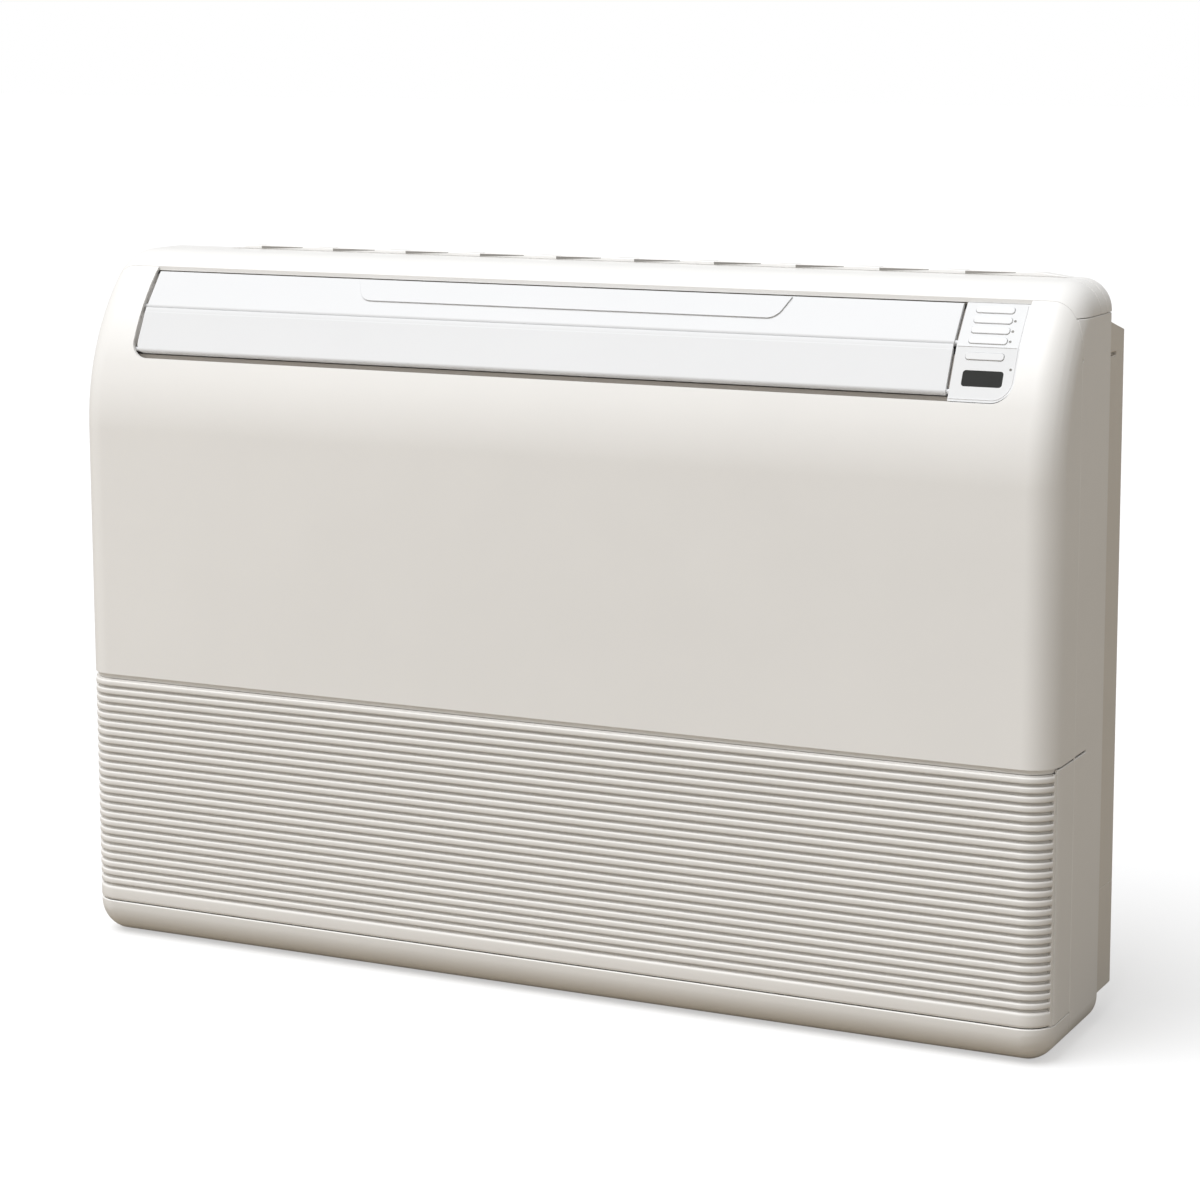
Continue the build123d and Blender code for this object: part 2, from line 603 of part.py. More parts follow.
def top_rim():
    """Slotted rim along the back of the cap, sloping down at its ends."""
    left, right = -HALF + RIM_LEFT, HALF - RIM_RIGHT
    face = Polygon(
        (left, CAP_TOP), (right, CAP_TOP),
        (right - RIM_SLOPE, CAP_TOP + RIM_HEIGHT), (left + RIM_SLOPE, CAP_TOP + RIM_HEIGHT),
        align=None,
    )
    front = Plane(origin=(0, RIM_DEPTH - DEPTH / 2, 0), x_dir=(1, 0, 0), z_dir=(0, -1, 0))
    rim = extrude(front * face, amount=SHELL_DEPTH - RIM_DEPTH, dir=(0, 1, 0))
    step = (right - left - 2 * RIM_SLOPE) / SLOT_COUNT
    middle = (RIM_DEPTH + SHELL_DEPTH) / 2
    depth = (middle - SLOT_WIDTH / 2, middle + SLOT_WIDTH / 2)
    top = CAP_TOP + RIM_HEIGHT
    for index in range(SLOT_COUNT):
        x = left + RIM_SLOPE + (index + 0.5) * step
        rim -= block((x - SLOT_LENGTH / 2, x + SLOT_LENGTH / 2), depth, (top - SLOT_SINK, top + OVERRUN))
    return rim


def rear_half():
    """Half the width of the rear casing."""
    return HALF - REAR_INSET


def rear_casing():
    """Sheet casing against the wall, bored for the wall bolts."""
    top = CAP_TOP - REAR_TOP_DROP
    section = make_face(Polyline(
        (SHELL_DEPTH, BAY_TOP), (DEPTH, BAY_TOP), (DEPTH, top - REAR_SLOPE), (SHELL_DEPTH, top),
        close=True,
    ))
    casing = along_x(section, -rear_half(), rear_half())
    back = casing.faces().sort_by(Axis.Y)[-1]
    edges = [edge for edge in back.edges() if edge.center().Z > BAY_TOP + OVERRUN]
    casing = fillet(edges, REAR_ROUND)
    for x in (-BOLT_SPAN / 2, BOLT_SPAN / 2):
        for z in (BOLT_LOW, BOLT_LOW + BOLT_RISE):
            hole = Plane(origin=(x, DEPTH / 2, z), z_dir=(0, -1, 0)) * Circle(BOLT_RADIUS)
            casing -= extrude(hole, amount=BOLT_DEPTH, dir=(0, -1, 0))
    slot_z = CAP_TOP - HANGER_DROP
    for side in (-1, 1):
        x = sorted((side * (rear_half() - HANGER_SINK), side * HALF))
        front = SHELL_DEPTH + HANGER_SETBACK
        casing -= block(x, (front, front + HANGER_LENGTH), (slot_z, slot_z + HANGER_HEIGHT))
    return casing


def pipe_bay():
    """Lower part of the casing, with the hole for the pipes."""
    bay = block((-rear_half(), rear_half()), (SHELL_DEPTH, DEPTH), (REAR_FOOT, BAY_TOP))
    back = bay.faces().sort_by(Axis.Y)[-1]
    bay = fillet([edge for edge in back.edges() if edge.center().Z < BAY_TOP - OVERRUN], REAR_ROUND)
    hole = Plane(origin=(PORT_X, DEPTH / 2, PORT_Z), z_dir=(0, -1, 0)) * Circle(PORT_RADIUS)
    return bay - extrude(hole, amount=PORT_LENGTH, dir=(0, -1, 0))


def build():
    """Every piece of the air conditioner under its own name."""
    cover = envelope(0, SHELL_DEPTH) - envelope(SKIN, SHELL_DEPTH + OVERRUN)
    core = envelope(SKIN + CLEAR, SHELL_DEPTH - CLEAR)
    pieces = {
        "base_rail": base_rail(cover),
        "bottom_plate": bottom_plate(),
        "front_panel": front_panel(cover),
        "top_cap": top_cap(cover),
        "top_rim": top_rim(),
        "cap_back": cap_back(),
        "left_side_panel": side_panel(cover, -1),
        "right_side_panel": side_panel(cover, 1),
        "grille_left_cheek": grille_cheek(-1),
        "grille_right_cheek": grille_cheek(1),
        "intake_grille": intake_grille(),
        "air_filter_left": air_filter(-1),
        "air_filter_right": air_filter(1),
        "blower_housing": blower_housing(core),
        "coil_housing": coil_housing(core),
        "duct_floor": duct_floor(core),
        "duct_roof": duct_roof(core),
        "duct_left_wall": duct_left_wall(core),
        "duct_right_wall": duct_right_wall(core),
        "evaporator_coil": evaporator_coil(core),
        "vertical_vanes": vertical_vanes(),
        "vane_rail": vane_rail(),
        "lower_louver": louver(False),
        "upper_louver": upper_louver(),
        "control_panel": control_panel(),
        "display_window": display_window(),
        "pilot_lamp": lamp(pilot_place()),
        "button_lamps": Compound(children=[lamp(place) for place in lamp_places()]),
        "rear_casing": rear_casing(),
        "pipe_bay": pipe_bay(),
    }
    for number, place in enumerate(button_planes(), start=1):
        pieces[f"button_{number}"] = button(place)
    return pieces


os.makedirs("parts", exist_ok=True)
for name, piece in build().items():
    export_step(piece, f"parts/{name}.step")
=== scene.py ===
import json
import math

import bmesh
import bpy
from mathutils import Matrix, Vector

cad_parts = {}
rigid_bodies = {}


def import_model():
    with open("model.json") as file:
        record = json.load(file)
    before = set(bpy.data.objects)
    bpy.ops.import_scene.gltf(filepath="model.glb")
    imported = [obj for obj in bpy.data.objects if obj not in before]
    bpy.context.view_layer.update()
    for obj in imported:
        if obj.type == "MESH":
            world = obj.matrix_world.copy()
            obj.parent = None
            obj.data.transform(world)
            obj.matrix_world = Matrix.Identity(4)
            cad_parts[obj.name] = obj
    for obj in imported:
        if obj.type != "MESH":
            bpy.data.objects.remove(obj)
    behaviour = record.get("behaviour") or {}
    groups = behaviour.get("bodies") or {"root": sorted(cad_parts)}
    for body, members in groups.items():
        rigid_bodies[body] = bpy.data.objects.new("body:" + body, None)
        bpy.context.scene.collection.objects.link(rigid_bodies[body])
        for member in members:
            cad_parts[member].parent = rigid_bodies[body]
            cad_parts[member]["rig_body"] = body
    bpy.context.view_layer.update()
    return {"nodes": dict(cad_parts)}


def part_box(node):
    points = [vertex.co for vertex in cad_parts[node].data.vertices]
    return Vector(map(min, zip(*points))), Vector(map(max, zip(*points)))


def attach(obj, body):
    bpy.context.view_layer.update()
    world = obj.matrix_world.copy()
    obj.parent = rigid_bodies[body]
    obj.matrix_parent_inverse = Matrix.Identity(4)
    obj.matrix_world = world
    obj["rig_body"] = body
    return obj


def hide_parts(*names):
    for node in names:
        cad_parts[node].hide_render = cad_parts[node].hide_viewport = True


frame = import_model()

bl_info = {
    "name": "Floor console air conditioner",
    "version": (1, 0, 0),
    "blender": (4, 5, 0),
    "location": "View3D > Sidebar > Air conditioner",
    "description": "Dresses the packed air conditioner with its mouldings, grille, controls and air path",
    "category": "Object",
}

CABINET = "cabinet"
FRONT, HALF_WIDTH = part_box("front_panel")[0].y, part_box("front_panel")[1].x

# Angles in degrees past which an edge is sharp, and the crease of the control panel's two faces
SHARP, CREASE = 32, 6
# Angle under which two faces are one flat face, and distance under which two corners are one
FLAT, DOUBLES = math.radians(0.4), 2e-6

# Pairs below are depths behind the cabinet's front and heights above the floor, in metres.
# Top edge of the upper louver, and the direction up its face
UPPER_TOP, UPPER_RUN = (0.06073, 0.6443), (0.6117, 0.7911)
# Lower and upper edge of a strip that runs the louvers' width, and its thickness
SILL = ((0.019, 0.5635), (0.019, 0.5682)), (0.007, 0.0)
TOP_SEAL = ((0.0637, 0.6426), (0.0662, 0.6458)), (0.0016, -0.0012)
# Foot of each louver's face, the direction up it, and where the side seals start and end along it
SIDE_SEALS = (
    ((0.0166, 0.57414), (0.441, 0.8975), (0.003, 0.0335)),
    ((0.03727, 0.61396), (0.612, 0.791), (0.003, 0.034)),
)
# Outline of the lip: depths, and heights above the lower louver's top
LIP = ((0.03275, -0.0013), (0.03421, 0.002), (0.0352, 0.0033), (0.0359, 0.0029), (0.0353, 0.0012),
       (0.0342, -0.0015))


# Nodes

class Socket:
    """One output of a node. Arithmetic on it adds Math nodes to its tree."""

    def __init__(self, builder, link):
        self.builder = builder
        self.link = link

    def math(self, operation, first, second):
        return self.builder.add("ShaderNodeMath", {"operation": operation}, {0: first, 1: second})

    def __add__(self, other):
        return self.math("ADD", self, other)

    def __radd__(self, other):
        return self.math("ADD", other, self)

    def __sub__(self, other):
        return self.math("SUBTRACT", self, other)

    def __rsub__(self, other):
        return self.math("SUBTRACT", other, self)

    def __mul__(self, other):
        return self.math("MULTIPLY", self, other)

    def __rmul__(self, other):
        return self.math("MULTIPLY", other, self)


class Builder:
    """Adds nodes to a tree."""

    def __init__(self, tree):
        self.tree = tree

    def add(self, kind, settings=None, inputs=None, output=0):
        """Add one node, its settings first and then the values or links of its sockets."""
        node = self.tree.nodes.new(kind)
        for name, value in (settings or {}).items():
            setattr(node, name, value)
        for name, value in (inputs or {}).items():
            self.feed(node.inputs[name], value)
        return Socket(self, node.outputs[output])

    def feed(self, socket, value):
        """Give a socket a link, several links or a plain value."""
        if isinstance(value, Socket):
            self.tree.links.new(value.link, socket)
        elif isinstance(value, list):
            for item in value:
                self.tree.links.new(item.link, socket)
        else:
            socket.default_value = value


class Finish(Builder):
    """A material whose patterns are written as expressions on Object coordinates."""

    def __init__(self, name):
        self.material = bpy.data.materials.new(name)
        self.material.use_nodes = True
        super().__init__(self.material.node_tree)
        self.tree.nodes.clear()
        self.shader = self.tree.nodes.new("ShaderNodeBsdfPrincipled")
        output = self.tree.nodes.new("ShaderNodeOutputMaterial")
        self.tree.links.new(self.shader.outputs[0], output.inputs["Surface"])
        self.place = self.add("ShaderNodeTexCoord", output="Object")

    def shade(self, **values):
        """Set or link the shader's own sockets, underscores for spaces, and give the material."""
        for name, value in values.items():
            self.feed(self.shader.inputs[name.replace("_", " ")], value)
        return self.material

    def noise(self, scale, detail, place=None):
        return self.add("ShaderNodeTexNoise", {}, {
            "Vector": place or self.place, "Scale": scale, "Detail": detail,
        })

    def stretched(self, scale):
        """Object coordinates scaled apart in the three directions."""
        return self.add("ShaderNodeMapping", {}, {"Vector": self.place, "Scale": scale})

    def axis(self, index):
        """One of the Object coordinates on its own."""
        return self.add("ShaderNodeSeparateXYZ", {}, {"Vector": self.place}, index)

    def ramp(self, value, low, high):
        """A value between two limits spread smoothly from 0 to 1."""
        return self.add("ShaderNodeMapRange", {"interpolation_type": "SMOOTHSTEP"}, {
            "Value": value, "From Min": low, "From Max": high,
        })

    def blend(self, factor, first, second):
        """A colour between two colours."""
        return self.add("ShaderNodeMix", {"data_type": "RGBA"}, {
            "Factor": factor, 6: first, 7: second,
        }, 2)

    def bump(self, height, strength, distance):
        return self.add("ShaderNodeBump", {}, {
            "Height": height, "Strength": strength, "Distance": distance,
        })


def tone(colour, factor):
    """A colour made darker or lighter, with full alpha."""
    return tuple(min(1.0, channel * factor) for channel in colour[:3]) + (1.0,)


def moulded(name, colour, roughness, grain=0.05, gloss=0.45):
    """Satin moulding: fine spark-eroded grain, slow changes of tone and of gloss."""
    finish = Finish(name)
    flow = finish.noise(3.2, 3.0, place=finish.stretched((0.45, 1.0, 1.3)))
    cloud = finish.noise(11.0, 4.0)
    pores = finish.noise(1500.0, 1.0)
    orange = finish.noise(240.0, 2.0)
    shade = finish.ramp(flow * 0.6 + cloud * 0.4, 0.32, 0.68)
    return finish.shade(
        Base_Color=finish.blend(shade, tone(colour, 0.985), tone(colour, 1.012)),
        Roughness=roughness - 0.035 + cloud * 0.05 + pores * 0.03,
        Normal=finish.bump(pores + orange * 0.8, grain, 0.0004),
        Specular_IOR_Level=gloss,
    )


def inner_moulding(name, colour):
    """Dark unfinished moulding with flow marks and a little dust on what faces up."""
    finish = Finish(name)
    flow = finish.noise(9.0, 4.0, place=finish.stretched((0.5, 1.0, 2.0)))
    pores = finish.noise(900.0, 2.0)
    facing = finish.add("ShaderNodeSeparateXYZ", {}, {
        "Vector": finish.add("ShaderNodeNewGeometry", output="Normal"),
    }, 2)
    dust = finish.ramp(facing, 0.4, 1.0) * finish.ramp(finish.noise(40.0, 5.0), 0.35, 0.75)
    base = finish.blend(finish.ramp(flow, 0.3, 0.7), tone(colour, 0.85), tone(colour, 1.15))
    return finish.shade(
        Base_Color=finish.blend(dust * 0.25, base, (0.42, 0.4, 0.37, 1.0)),
        Roughness=0.5 + dust * 0.3 + pores * 0.08,
        Normal=finish.bump(pores, 0.12, 0.0005),
    )


def powder_coat(name, colour):
    """Sheet metal under powder coat: orange peel, with faint rub marks."""
    finish = Finish(name)
    peel = finish.noise(420.0, 2.0)
    cloud = finish.noise(6.0, 4.0)
    rub = finish.ramp(finish.noise(30.0, 6.0, place=finish.stretched((6.0, 1.0, 0.5))), 0.58, 0.75)
    base = finish.blend(finish.ramp(cloud, 0.3, 0.7), tone(colour, 0.965), tone(colour, 1.02))
    return finish.shade(
        Base_Color=finish.blend(rub * 0.12, base, tone(colour, 0.8)),
        Roughness=0.46 + peel * 0.1 - rub * 0.06,
        Normal=finish.bump(peel, 0.16, 0.0006),
    )


def woven_filter(name, colour):
    """Dark woven gauze: crossing threads about a millimetre apart with lint between them."""
    finish = Finish(name)
    thread_pair = 0.0021
    threads = 2 * math.pi / thread_pair
    warp = finish.add("ShaderNodeMath", {"operation": "SINE"}, {0: finish.axis(0) * threads})
    weft = finish.add("ShaderNodeMath", {"operation": "SINE"}, {0: finish.axis(2) * threads})
    weave = finish.ramp(warp * weft, -0.7, 0.7)
    lint = finish.ramp(finish.noise(55.0, 5.0), 0.5, 0.8)
    base = finish.blend(weave, tone(colour, 0.55), tone(colour, 1.3))
    return finish.shade(
        Base_Color=finish.blend(lint * 0.3, base, (0.34, 0.33, 0.32, 1.0)),
        Roughness=0.62 + lint * 0.2,
        Normal=finish.bump(weave, 0.5, 0.0004),
    )


def pressed_aluminium(name, colour):
    """Thin pressed fins: bright metal with uneven bends and grey bloom."""
    finish = Finish(name)
    streak = finish.noise(70.0, 3.0, place=finish.stretched((8.0, 1.0, 0.4)))
    bloom = finish.ramp(finish.noise(25.0, 5.0), 0.45, 0.75)
    base = finish.blend(streak, tone(colour, 0.8), tone(colour, 1.1))
    return finish.shade(
        Base_Color=finish.blend(bloom * 0.4, base, (0.5, 0.51, 0.52, 1.0)),
        Metallic=0.95 - bloom * 0.3,
        Roughness=0.3 + bloom * 0.25,
        Normal=finish.bump(streak, 0.15, 0.0006),
    )


def bright_steel(name, colour):
    """Plated steel of screws: turned marks and dulled patches."""
    finish = Finish(name)
    marks = finish.noise(600.0, 3.0)
    dull = finish.ramp(finish.noise(90.0, 4.0), 0.4, 0.7)
    return finish.shade(
        Base_Color=finish.blend(dull, tone(colour, 1.05), tone(colour, 0.72)),
        Metallic=0.92 - dull * 0.1,
        Roughness=0.28 + dull * 0.22 + marks * 0.06,
        Normal=finish.bump(marks, 0.1, 0.0003),
    )


def dark_window(name, colour):
    """Polished smoked window with a faint wiped haze."""
    finish = Finish(name)
    haze = finish.ramp(finish.noise(90.0, 4.0, place=finish.stretched((1.0, 1.0, 2.5))), 0.35, 0.8)
    return finish.shade(
        Base_Color=finish.blend(haze, tone(colour, 0.8), tone(colour, 1.35)),
        Roughness=0.3 + haze * 0.12,
        Specular_IOR_Level=0.12,
    )


def smoked_lens(name, colour):
    """Small smoked lens with a clear outer skin."""
    finish = Finish(name)
    speck = finish.noise(900.0, 2.0)
    return finish.shade(
        Base_Color=finish.blend(speck, tone(colour, 0.75), tone(colour, 1.2)),
        Roughness=0.16 + speck * 0.08,
        Coat_Weight=0.4,
    )


def closed_foam(name, colour):
    """Closed-cell foam: round cells and a dull skin."""
    finish = Finish(name)
    cells = finish.add("ShaderNodeTexVoronoi", {}, {"Vector": finish.place, "Scale": 480.0})
    soil = finish.noise(45.0, 4.0)
    shade = finish.ramp(cells + soil * 0.3, 0.1, 0.7)
    return finish.shade(
        Base_Color=finish.blend(shade, tone(colour, 0.7), tone(colour, 1.25)),
        Roughness=0.86 + soil * 0.1,
        Normal=finish.bump(cells, 0.4, 0.0008),
    )


def studio_floor(name, colour, bounce):
    """Pale seamless paper with the faintest fibre, throwing a warmer light back on the unit."""
    finish = Finish(name)
    fibre = finish.noise(260.0, 4.0)
    cloud = finish.noise(1.3, 2.0)
    seen = finish.add("ShaderNodeLightPath", output="Is Camera Ray")
    paper = finish.blend(cloud, tone(colour, 0.495), tone(colour, 0.505))
    return finish.shade(
        Base_Color=finish.blend(seen, tone(bounce, 1.0), paper),
        Emission_Color=finish.blend(seen, (0.0, 0.0, 0.0, 1.0), (0.5, 0.5, 0.5, 1.0)),
        Emission_Strength=1.0,
        Roughness=0.84 + fibre * 0.1,
        Normal=finish.bump(fibre, 0.03, 0.0005),
    )


# Settings

def size(name, description, default):
    return bpy.props.FloatProperty(
        name=name, description=description, default=default,
        min=0.0, unit="LENGTH", subtype="DISTANCE", precision=5,
    )


def paint(name, description, default):
    return bpy.props.FloatVectorProperty(
        name=name, description=description, default=default, size=3, min=0.0, max=1.0, subtype="COLOR",
    )


def count(name, description, default):
    return bpy.props.IntProperty(name=name, description=description, default=default, min=1)


def amount(name, description, default):
    return bpy.props.FloatProperty(name=name, description=description, default=default)


def turn(name, description, default):
    return bpy.props.FloatProperty(
        name=name, description=description, default=math.radians(default), subtype="ANGLE", unit="ROTATION",
    )


class CoverSettings(bpy.types.PropertyGroup):
    """Moulded covers of the cabinet."""
    colour: paint("Cover colour", "Colour of the ivory covers", (0.85, 0.838, 0.815))
    edge: size("Edge rounding", "Rounding along the covers' edges", 0.0006)
    joint: size("Joint rounding", "Rounding along the side panels' edges", 0.0013)
    bead: size("Seam bead", "Radius of the beads along the side panels", 0.0009)
    bead_drop: size("Bead drop", "Top of the side panels to the beads' upper ends", 0.036)
    # Lighter than the covers: a painted highlight on the beads along the side panels' seams
    bead_highlight_colour: paint("Bead highlight colour", "Colour of the beads", (0.95, 0.94, 0.92))
    slots: count("Rim slots", "How many slots the rim has", 10)
    # Length of the dark wedge painted as shadow in each rim slot's mouth
    slot_mouth: size("Slot shadow length", "Visible length of a slot's mouth", 0.046)
    slot_slope: size("Rim slope", "Length of the rim's sloping ends", 0.026)
    # Dark colour painted as shadow in the rim slots' mouths
    slot_shadow_colour: paint("Slot shadow colour", "Colour of the slots' mouths", (0.27, 0.255, 0.235))


class GrilleSettings(bpy.types.PropertyGroup):
    """Ribbed intake grille."""
    colour: paint("Grille colour", "Colour of the grille", (0.8, 0.782, 0.752))
    ribs: count("Ribs", "How many ribs the grille has", 25)
    pitch: size("Rib pitch", "Height from one rib to the next", 0.008175)
    slot: size("Air slot", "Open height between two crests", 0.0024)
    crest: size("Crest depth", "How far a crest stands out of its slot", 0.0027)
    flat: size("Crest flat", "Half the height of a crest's flat front", 0.0015)
    blade: size("Blade depth", "Front of a crest to the back of its web", 0.008)
    web: size("Web", "Thickness of a blade's web", 0.0022)
    climb: size("Web climb", "How far a web rises behind its crest", 0.0038)
    setback: size("Web setback", "Crest's bend to the foot of the web behind it", 0.0003)
    lean: size("Web lean", "Crest's bend to the top of the web behind the slot", 0.0013)
    cover: amount("Slot cover", "Share of a slot's height that the web behind it closes", 0.78)
    foot: size("Foot height", "Plain strip under the ribs", 0.0151)
    bead: size("Hinge bead", "Radius of the bead at the lower edge", 0.003)
    radius: size("Corner radius", "Radius of the cabinet's front corners", 0.027)
    wrap: turn("Wrap angle", "How far the ribs turn round each corner", 66.0)
    stile: size("Stile", "Width of the uprights behind the ribs", 0.003)
    stiles: count("Stiles", "How many uprights carry the ribs", 3)
    stile_back: size("Stile depth", "How far the uprights reach behind the blades", 0.003)


class LouverSettings(bpy.types.PropertyGroup):
    """Louvers of the outlet."""
    colour: paint("Louver colour", "Colour of the louvers", (0.745, 0.75, 0.757))
    # Dark taupe of the sill and seals: painted shade in the gaps round the louvers
    seal_shade_colour: paint("Seal shade colour", "Colour of the sill and seals round the louvers", (0.33, 0.3, 0.265))
    edge: size("Edge rounding", "Rounding along the louvers' edges", 0.0004)
    # Grey of the line round the raised tab: painted shade at its step
    tab_shade_colour: paint("Tab shade line colour", "Colour of the line round the raised tab", (0.7, 0.71, 0.72))
    # Radius of that painted shade line
    tab_line: size("Tab shade line", "Radius of the line round the raised tab", 0.00036)
    tab_width: size("Tab width", "Width of the raised tab at the louver's upper edge", 0.436)
    tab_height: size("Tab height", "Height of the raised tab along the louver", 0.0242)
    tab_slant: size("Tab slant", "Run of the tab's slanting ends", 0.011)
    tab_corner: size("Tab corner", "Radius of the tab's lower corners", 0.014)
    tab_rise: size("Tab rise", "Rise of the tab above the louver", 0.0013)
    tab_middle: size("Tab middle", "Tab's middle right of the cabinet's middle", 0.0085)


class ControlSettings(bpy.types.PropertyGroup):
    """Control panel and its buttons."""
    colour: paint("Panel colour", "Colour of the control panel", (0.75, 0.755, 0.76))
    button_colour: paint("Button colour", "Colour of the buttons", (0.765, 0.77, 0.775))
    glass_colour: paint("Window colour", "Colour of the display's window", (0.012, 0.0125, 0.0105))
    lens_colour: paint("Lens colour", "Colour of the lamps' lenses", (0.2, 0.19, 0.17))
    edge: size("Edge rounding", "Rounding along the buttons' edges", 0.0005)
    crease: size("Crease height", "Floor to the line between the panel's two faces", 0.61)
    crease_depth: size("Crease depth", "Cabinet's front to that line", 0.03421)
    lower_slope: amount("Lower slope", "Depth per height of the panel's lower face", 0.4912)
    upper_slope: amount("Upper slope", "Depth per height of the panel's upper face", 0.7732)
    rim: size("Rim bead", "Radius of the bead along the panel's edges", 0.00045)
    rim_inset: size("Rim inset", "Panel's edge to the bead", 0.0022)
    rim_corner: size("Rim corner", "Radius of the bead at the panel's lower corner", 0.016)


class AirPathSettings(bpy.types.PropertyGroup):
    """Filters, duct, vanes and coil."""
    inner_colour: paint("Inner colour", "Colour of the dark inner mouldings", (0.05, 0.05, 0.053))
    duct_colour: paint("Duct colour", "Colour of the outlet duct", (0.72, 0.7, 0.67))
    filter_colour: paint("Filter colour", "Colour of the filters", (0.045, 0.05, 0.055))
    fin_colour: paint("Fin colour", "Colour of the coil's fins", (0.74, 0.76, 0.78))
    fin_pitch: size("Fin pitch", "Distance from one fin to the next", 0.0024)
    fin: size("Fin", "Thickness of a fin", 0.0005)
    fin_depth: size("Fin depth", "How far the fins stand out of the coil", 0.004)
    bar_pitch: size("Filter bar pitch", "Distance from one filter bar to the next", 0.032)
    bar: size("Filter bar", "Width of a filter bar", 0.0016)


class RearSettings(bpy.types.PropertyGroup):
    """Rear casing."""
    colour: paint("Casing colour", "Colour of the casing", (0.74, 0.705, 0.65))
    screw_colour: paint("Screw colour", "Colour of the screws", (0.62, 0.62, 0.63))
    foam_colour: paint("Foam colour", "Colour of the pipe hole's gasket", (0.03, 0.03, 0.032))
    screw: size("Screw head", "Radius of a screw's head", 0.0042)
    screws: count("Screws", "How many screws stand along the casing's top", 5)
    screw_setback: size("Screw setback", "Wall to the screws' line", 0.03)
    top_fall: size("Top fall", "How far the casing's top falls towards the wall", 0.014)
    port: size("Pipe hole", "Radius of the hole for the pipes", 0.0325)
    port_x: size("Pipe hole place", "Middle of the cabinet to the pipe hole", 0.33)
    port_z: size("Pipe hole height", "Floor to the pipe hole's middle", 0.072)
    foam: size("Foam", "Thickness of the pipe hole's gasket", 0.006)
    foam_length: size("Foam length", "Length of the gasket in the hole", 0.02)


class StageSettings(bpy.types.PropertyGroup):
    """Floor, lights and camera."""
    floor_colour: paint("Floor colour", "Colour of the floor", (0.95, 0.95, 0.95))
    bounce_colour: paint("Bounce colour", "Colour that the floor throws back", (0.27, 0.225, 0.165))
    room: amount("Room light", "Strength of the light from all round", 0.46)
    sky: amount("Sky light", "Strength of the broad light from above", 2.72)
    sky_spread: turn("Sky spread", "Angle that the broad light fills", 48.0)
    sky_height: turn("Sky height", "Height of the broad light above the floor", 59.5)
    sky_side: turn("Sky side", "Turn of the broad light towards the unit's left end", 32.0)
    fill: amount("Fill light", "Power of the panel at the left in watts", 3.2)
    lens: amount("Lens", "Focal length in millimetres", 93.73)
    yaw: turn("Yaw", "Turn of the camera from straight ahead", 25.28)
    pitch: turn("Pitch", "Tilt of the camera downwards", 8.71)


# Meshes

def placed(name, data):
    """A new object in the scene, at the origin."""
    thing = bpy.data.objects.new(name, data)
    bpy.context.scene.collection.objects.link(thing)
    return thing


def mesh_of(form, name):
    """A new mesh from a form, which is then freed."""
    mesh = bpy.data.meshes.new(name)
    form.to_mesh(mesh)
    form.free()
    return mesh


def piece_from(mesh, name, material):
    """A new object at the origin with one material."""
    mesh.name = name
    mesh.materials.clear()
    mesh.materials.append(material)
    return placed(name, mesh)


def smooth(mesh, angle):
    """Smooth shading that breaks at edges sharper than an angle."""
    mesh.shade_smooth()
    mesh.set_sharp_from_angle(angle=math.radians(angle))


def merged(node, whole):
    """A copy of a CAD node with its triangles joined, and its flat faces made whole where asked."""
    form = bmesh.new()
    form.from_mesh(frame["nodes"][node].data)
    bmesh.ops.remove_doubles(form, verts=form.verts, dist=DOUBLES)
    if whole:
        bmesh.ops.dissolve_limit(form, angle_limit=FLAT, verts=form.verts, edges=form.edges)
    return mesh_of(form, node)


def soften(piece, width):
    """Round a piece's sharp edges and keep its flat faces flat."""
    bevel = piece.modifiers.new("edges", "BEVEL")
    bevel.width = width
    bevel.segments = 2
    bevel.limit_method = "ANGLE"
    bevel.angle_limit = math.radians(SHARP)
    bevel.miter_outer = "MITER_ARC"
    weight = piece.modifiers.new("normals", "WEIGHTED_NORMAL")
    weight.keep_sharp = True
    weight.weight = 90


def dressed(node, material, edge, sharp=SHARP):
    """A finished piece in the place of a CAD node, on its body."""
    mesh = merged(node, edge > 0)
    smooth(mesh, sharp)
    piece = piece_from(mesh, node + "_moulding", material)
    if edge:
        soften(piece, edge)
    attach(piece, frame["nodes"][node]["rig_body"])
    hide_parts(node)


def added(mesh, name, material, body, like, *nodes):
    """A finished new piece on a body, standing for the nodes named; the node given as like is not used."""
    piece = piece_from(mesh, name, material)
    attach(piece, body)
    if nodes:
        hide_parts(*nodes)


def joined(meshes):
    """Several meshes as one, its faces turned outwards."""
    form = bmesh.new()
    for mesh in meshes:
        form.from_mesh(mesh)
    bmesh.ops.recalc_face_normals(form, faces=form.faces)
    return mesh_of(form, "joined")


def prism(name, near, far):
    """A closed mesh between two outlines of as many points, its faces turned outwards."""
    number = len(near)
    faces = [list(range(number)), list(range(number, 2 * number))]
    for index in range(number):
        after = (index + 1) % number
        faces.append([index, after, number + after, number + index])
    mesh = bpy.data.meshes.new(name)
    mesh.from_pydata([*near, *far], [], faces)
    return joined([mesh])


# Geometry trees

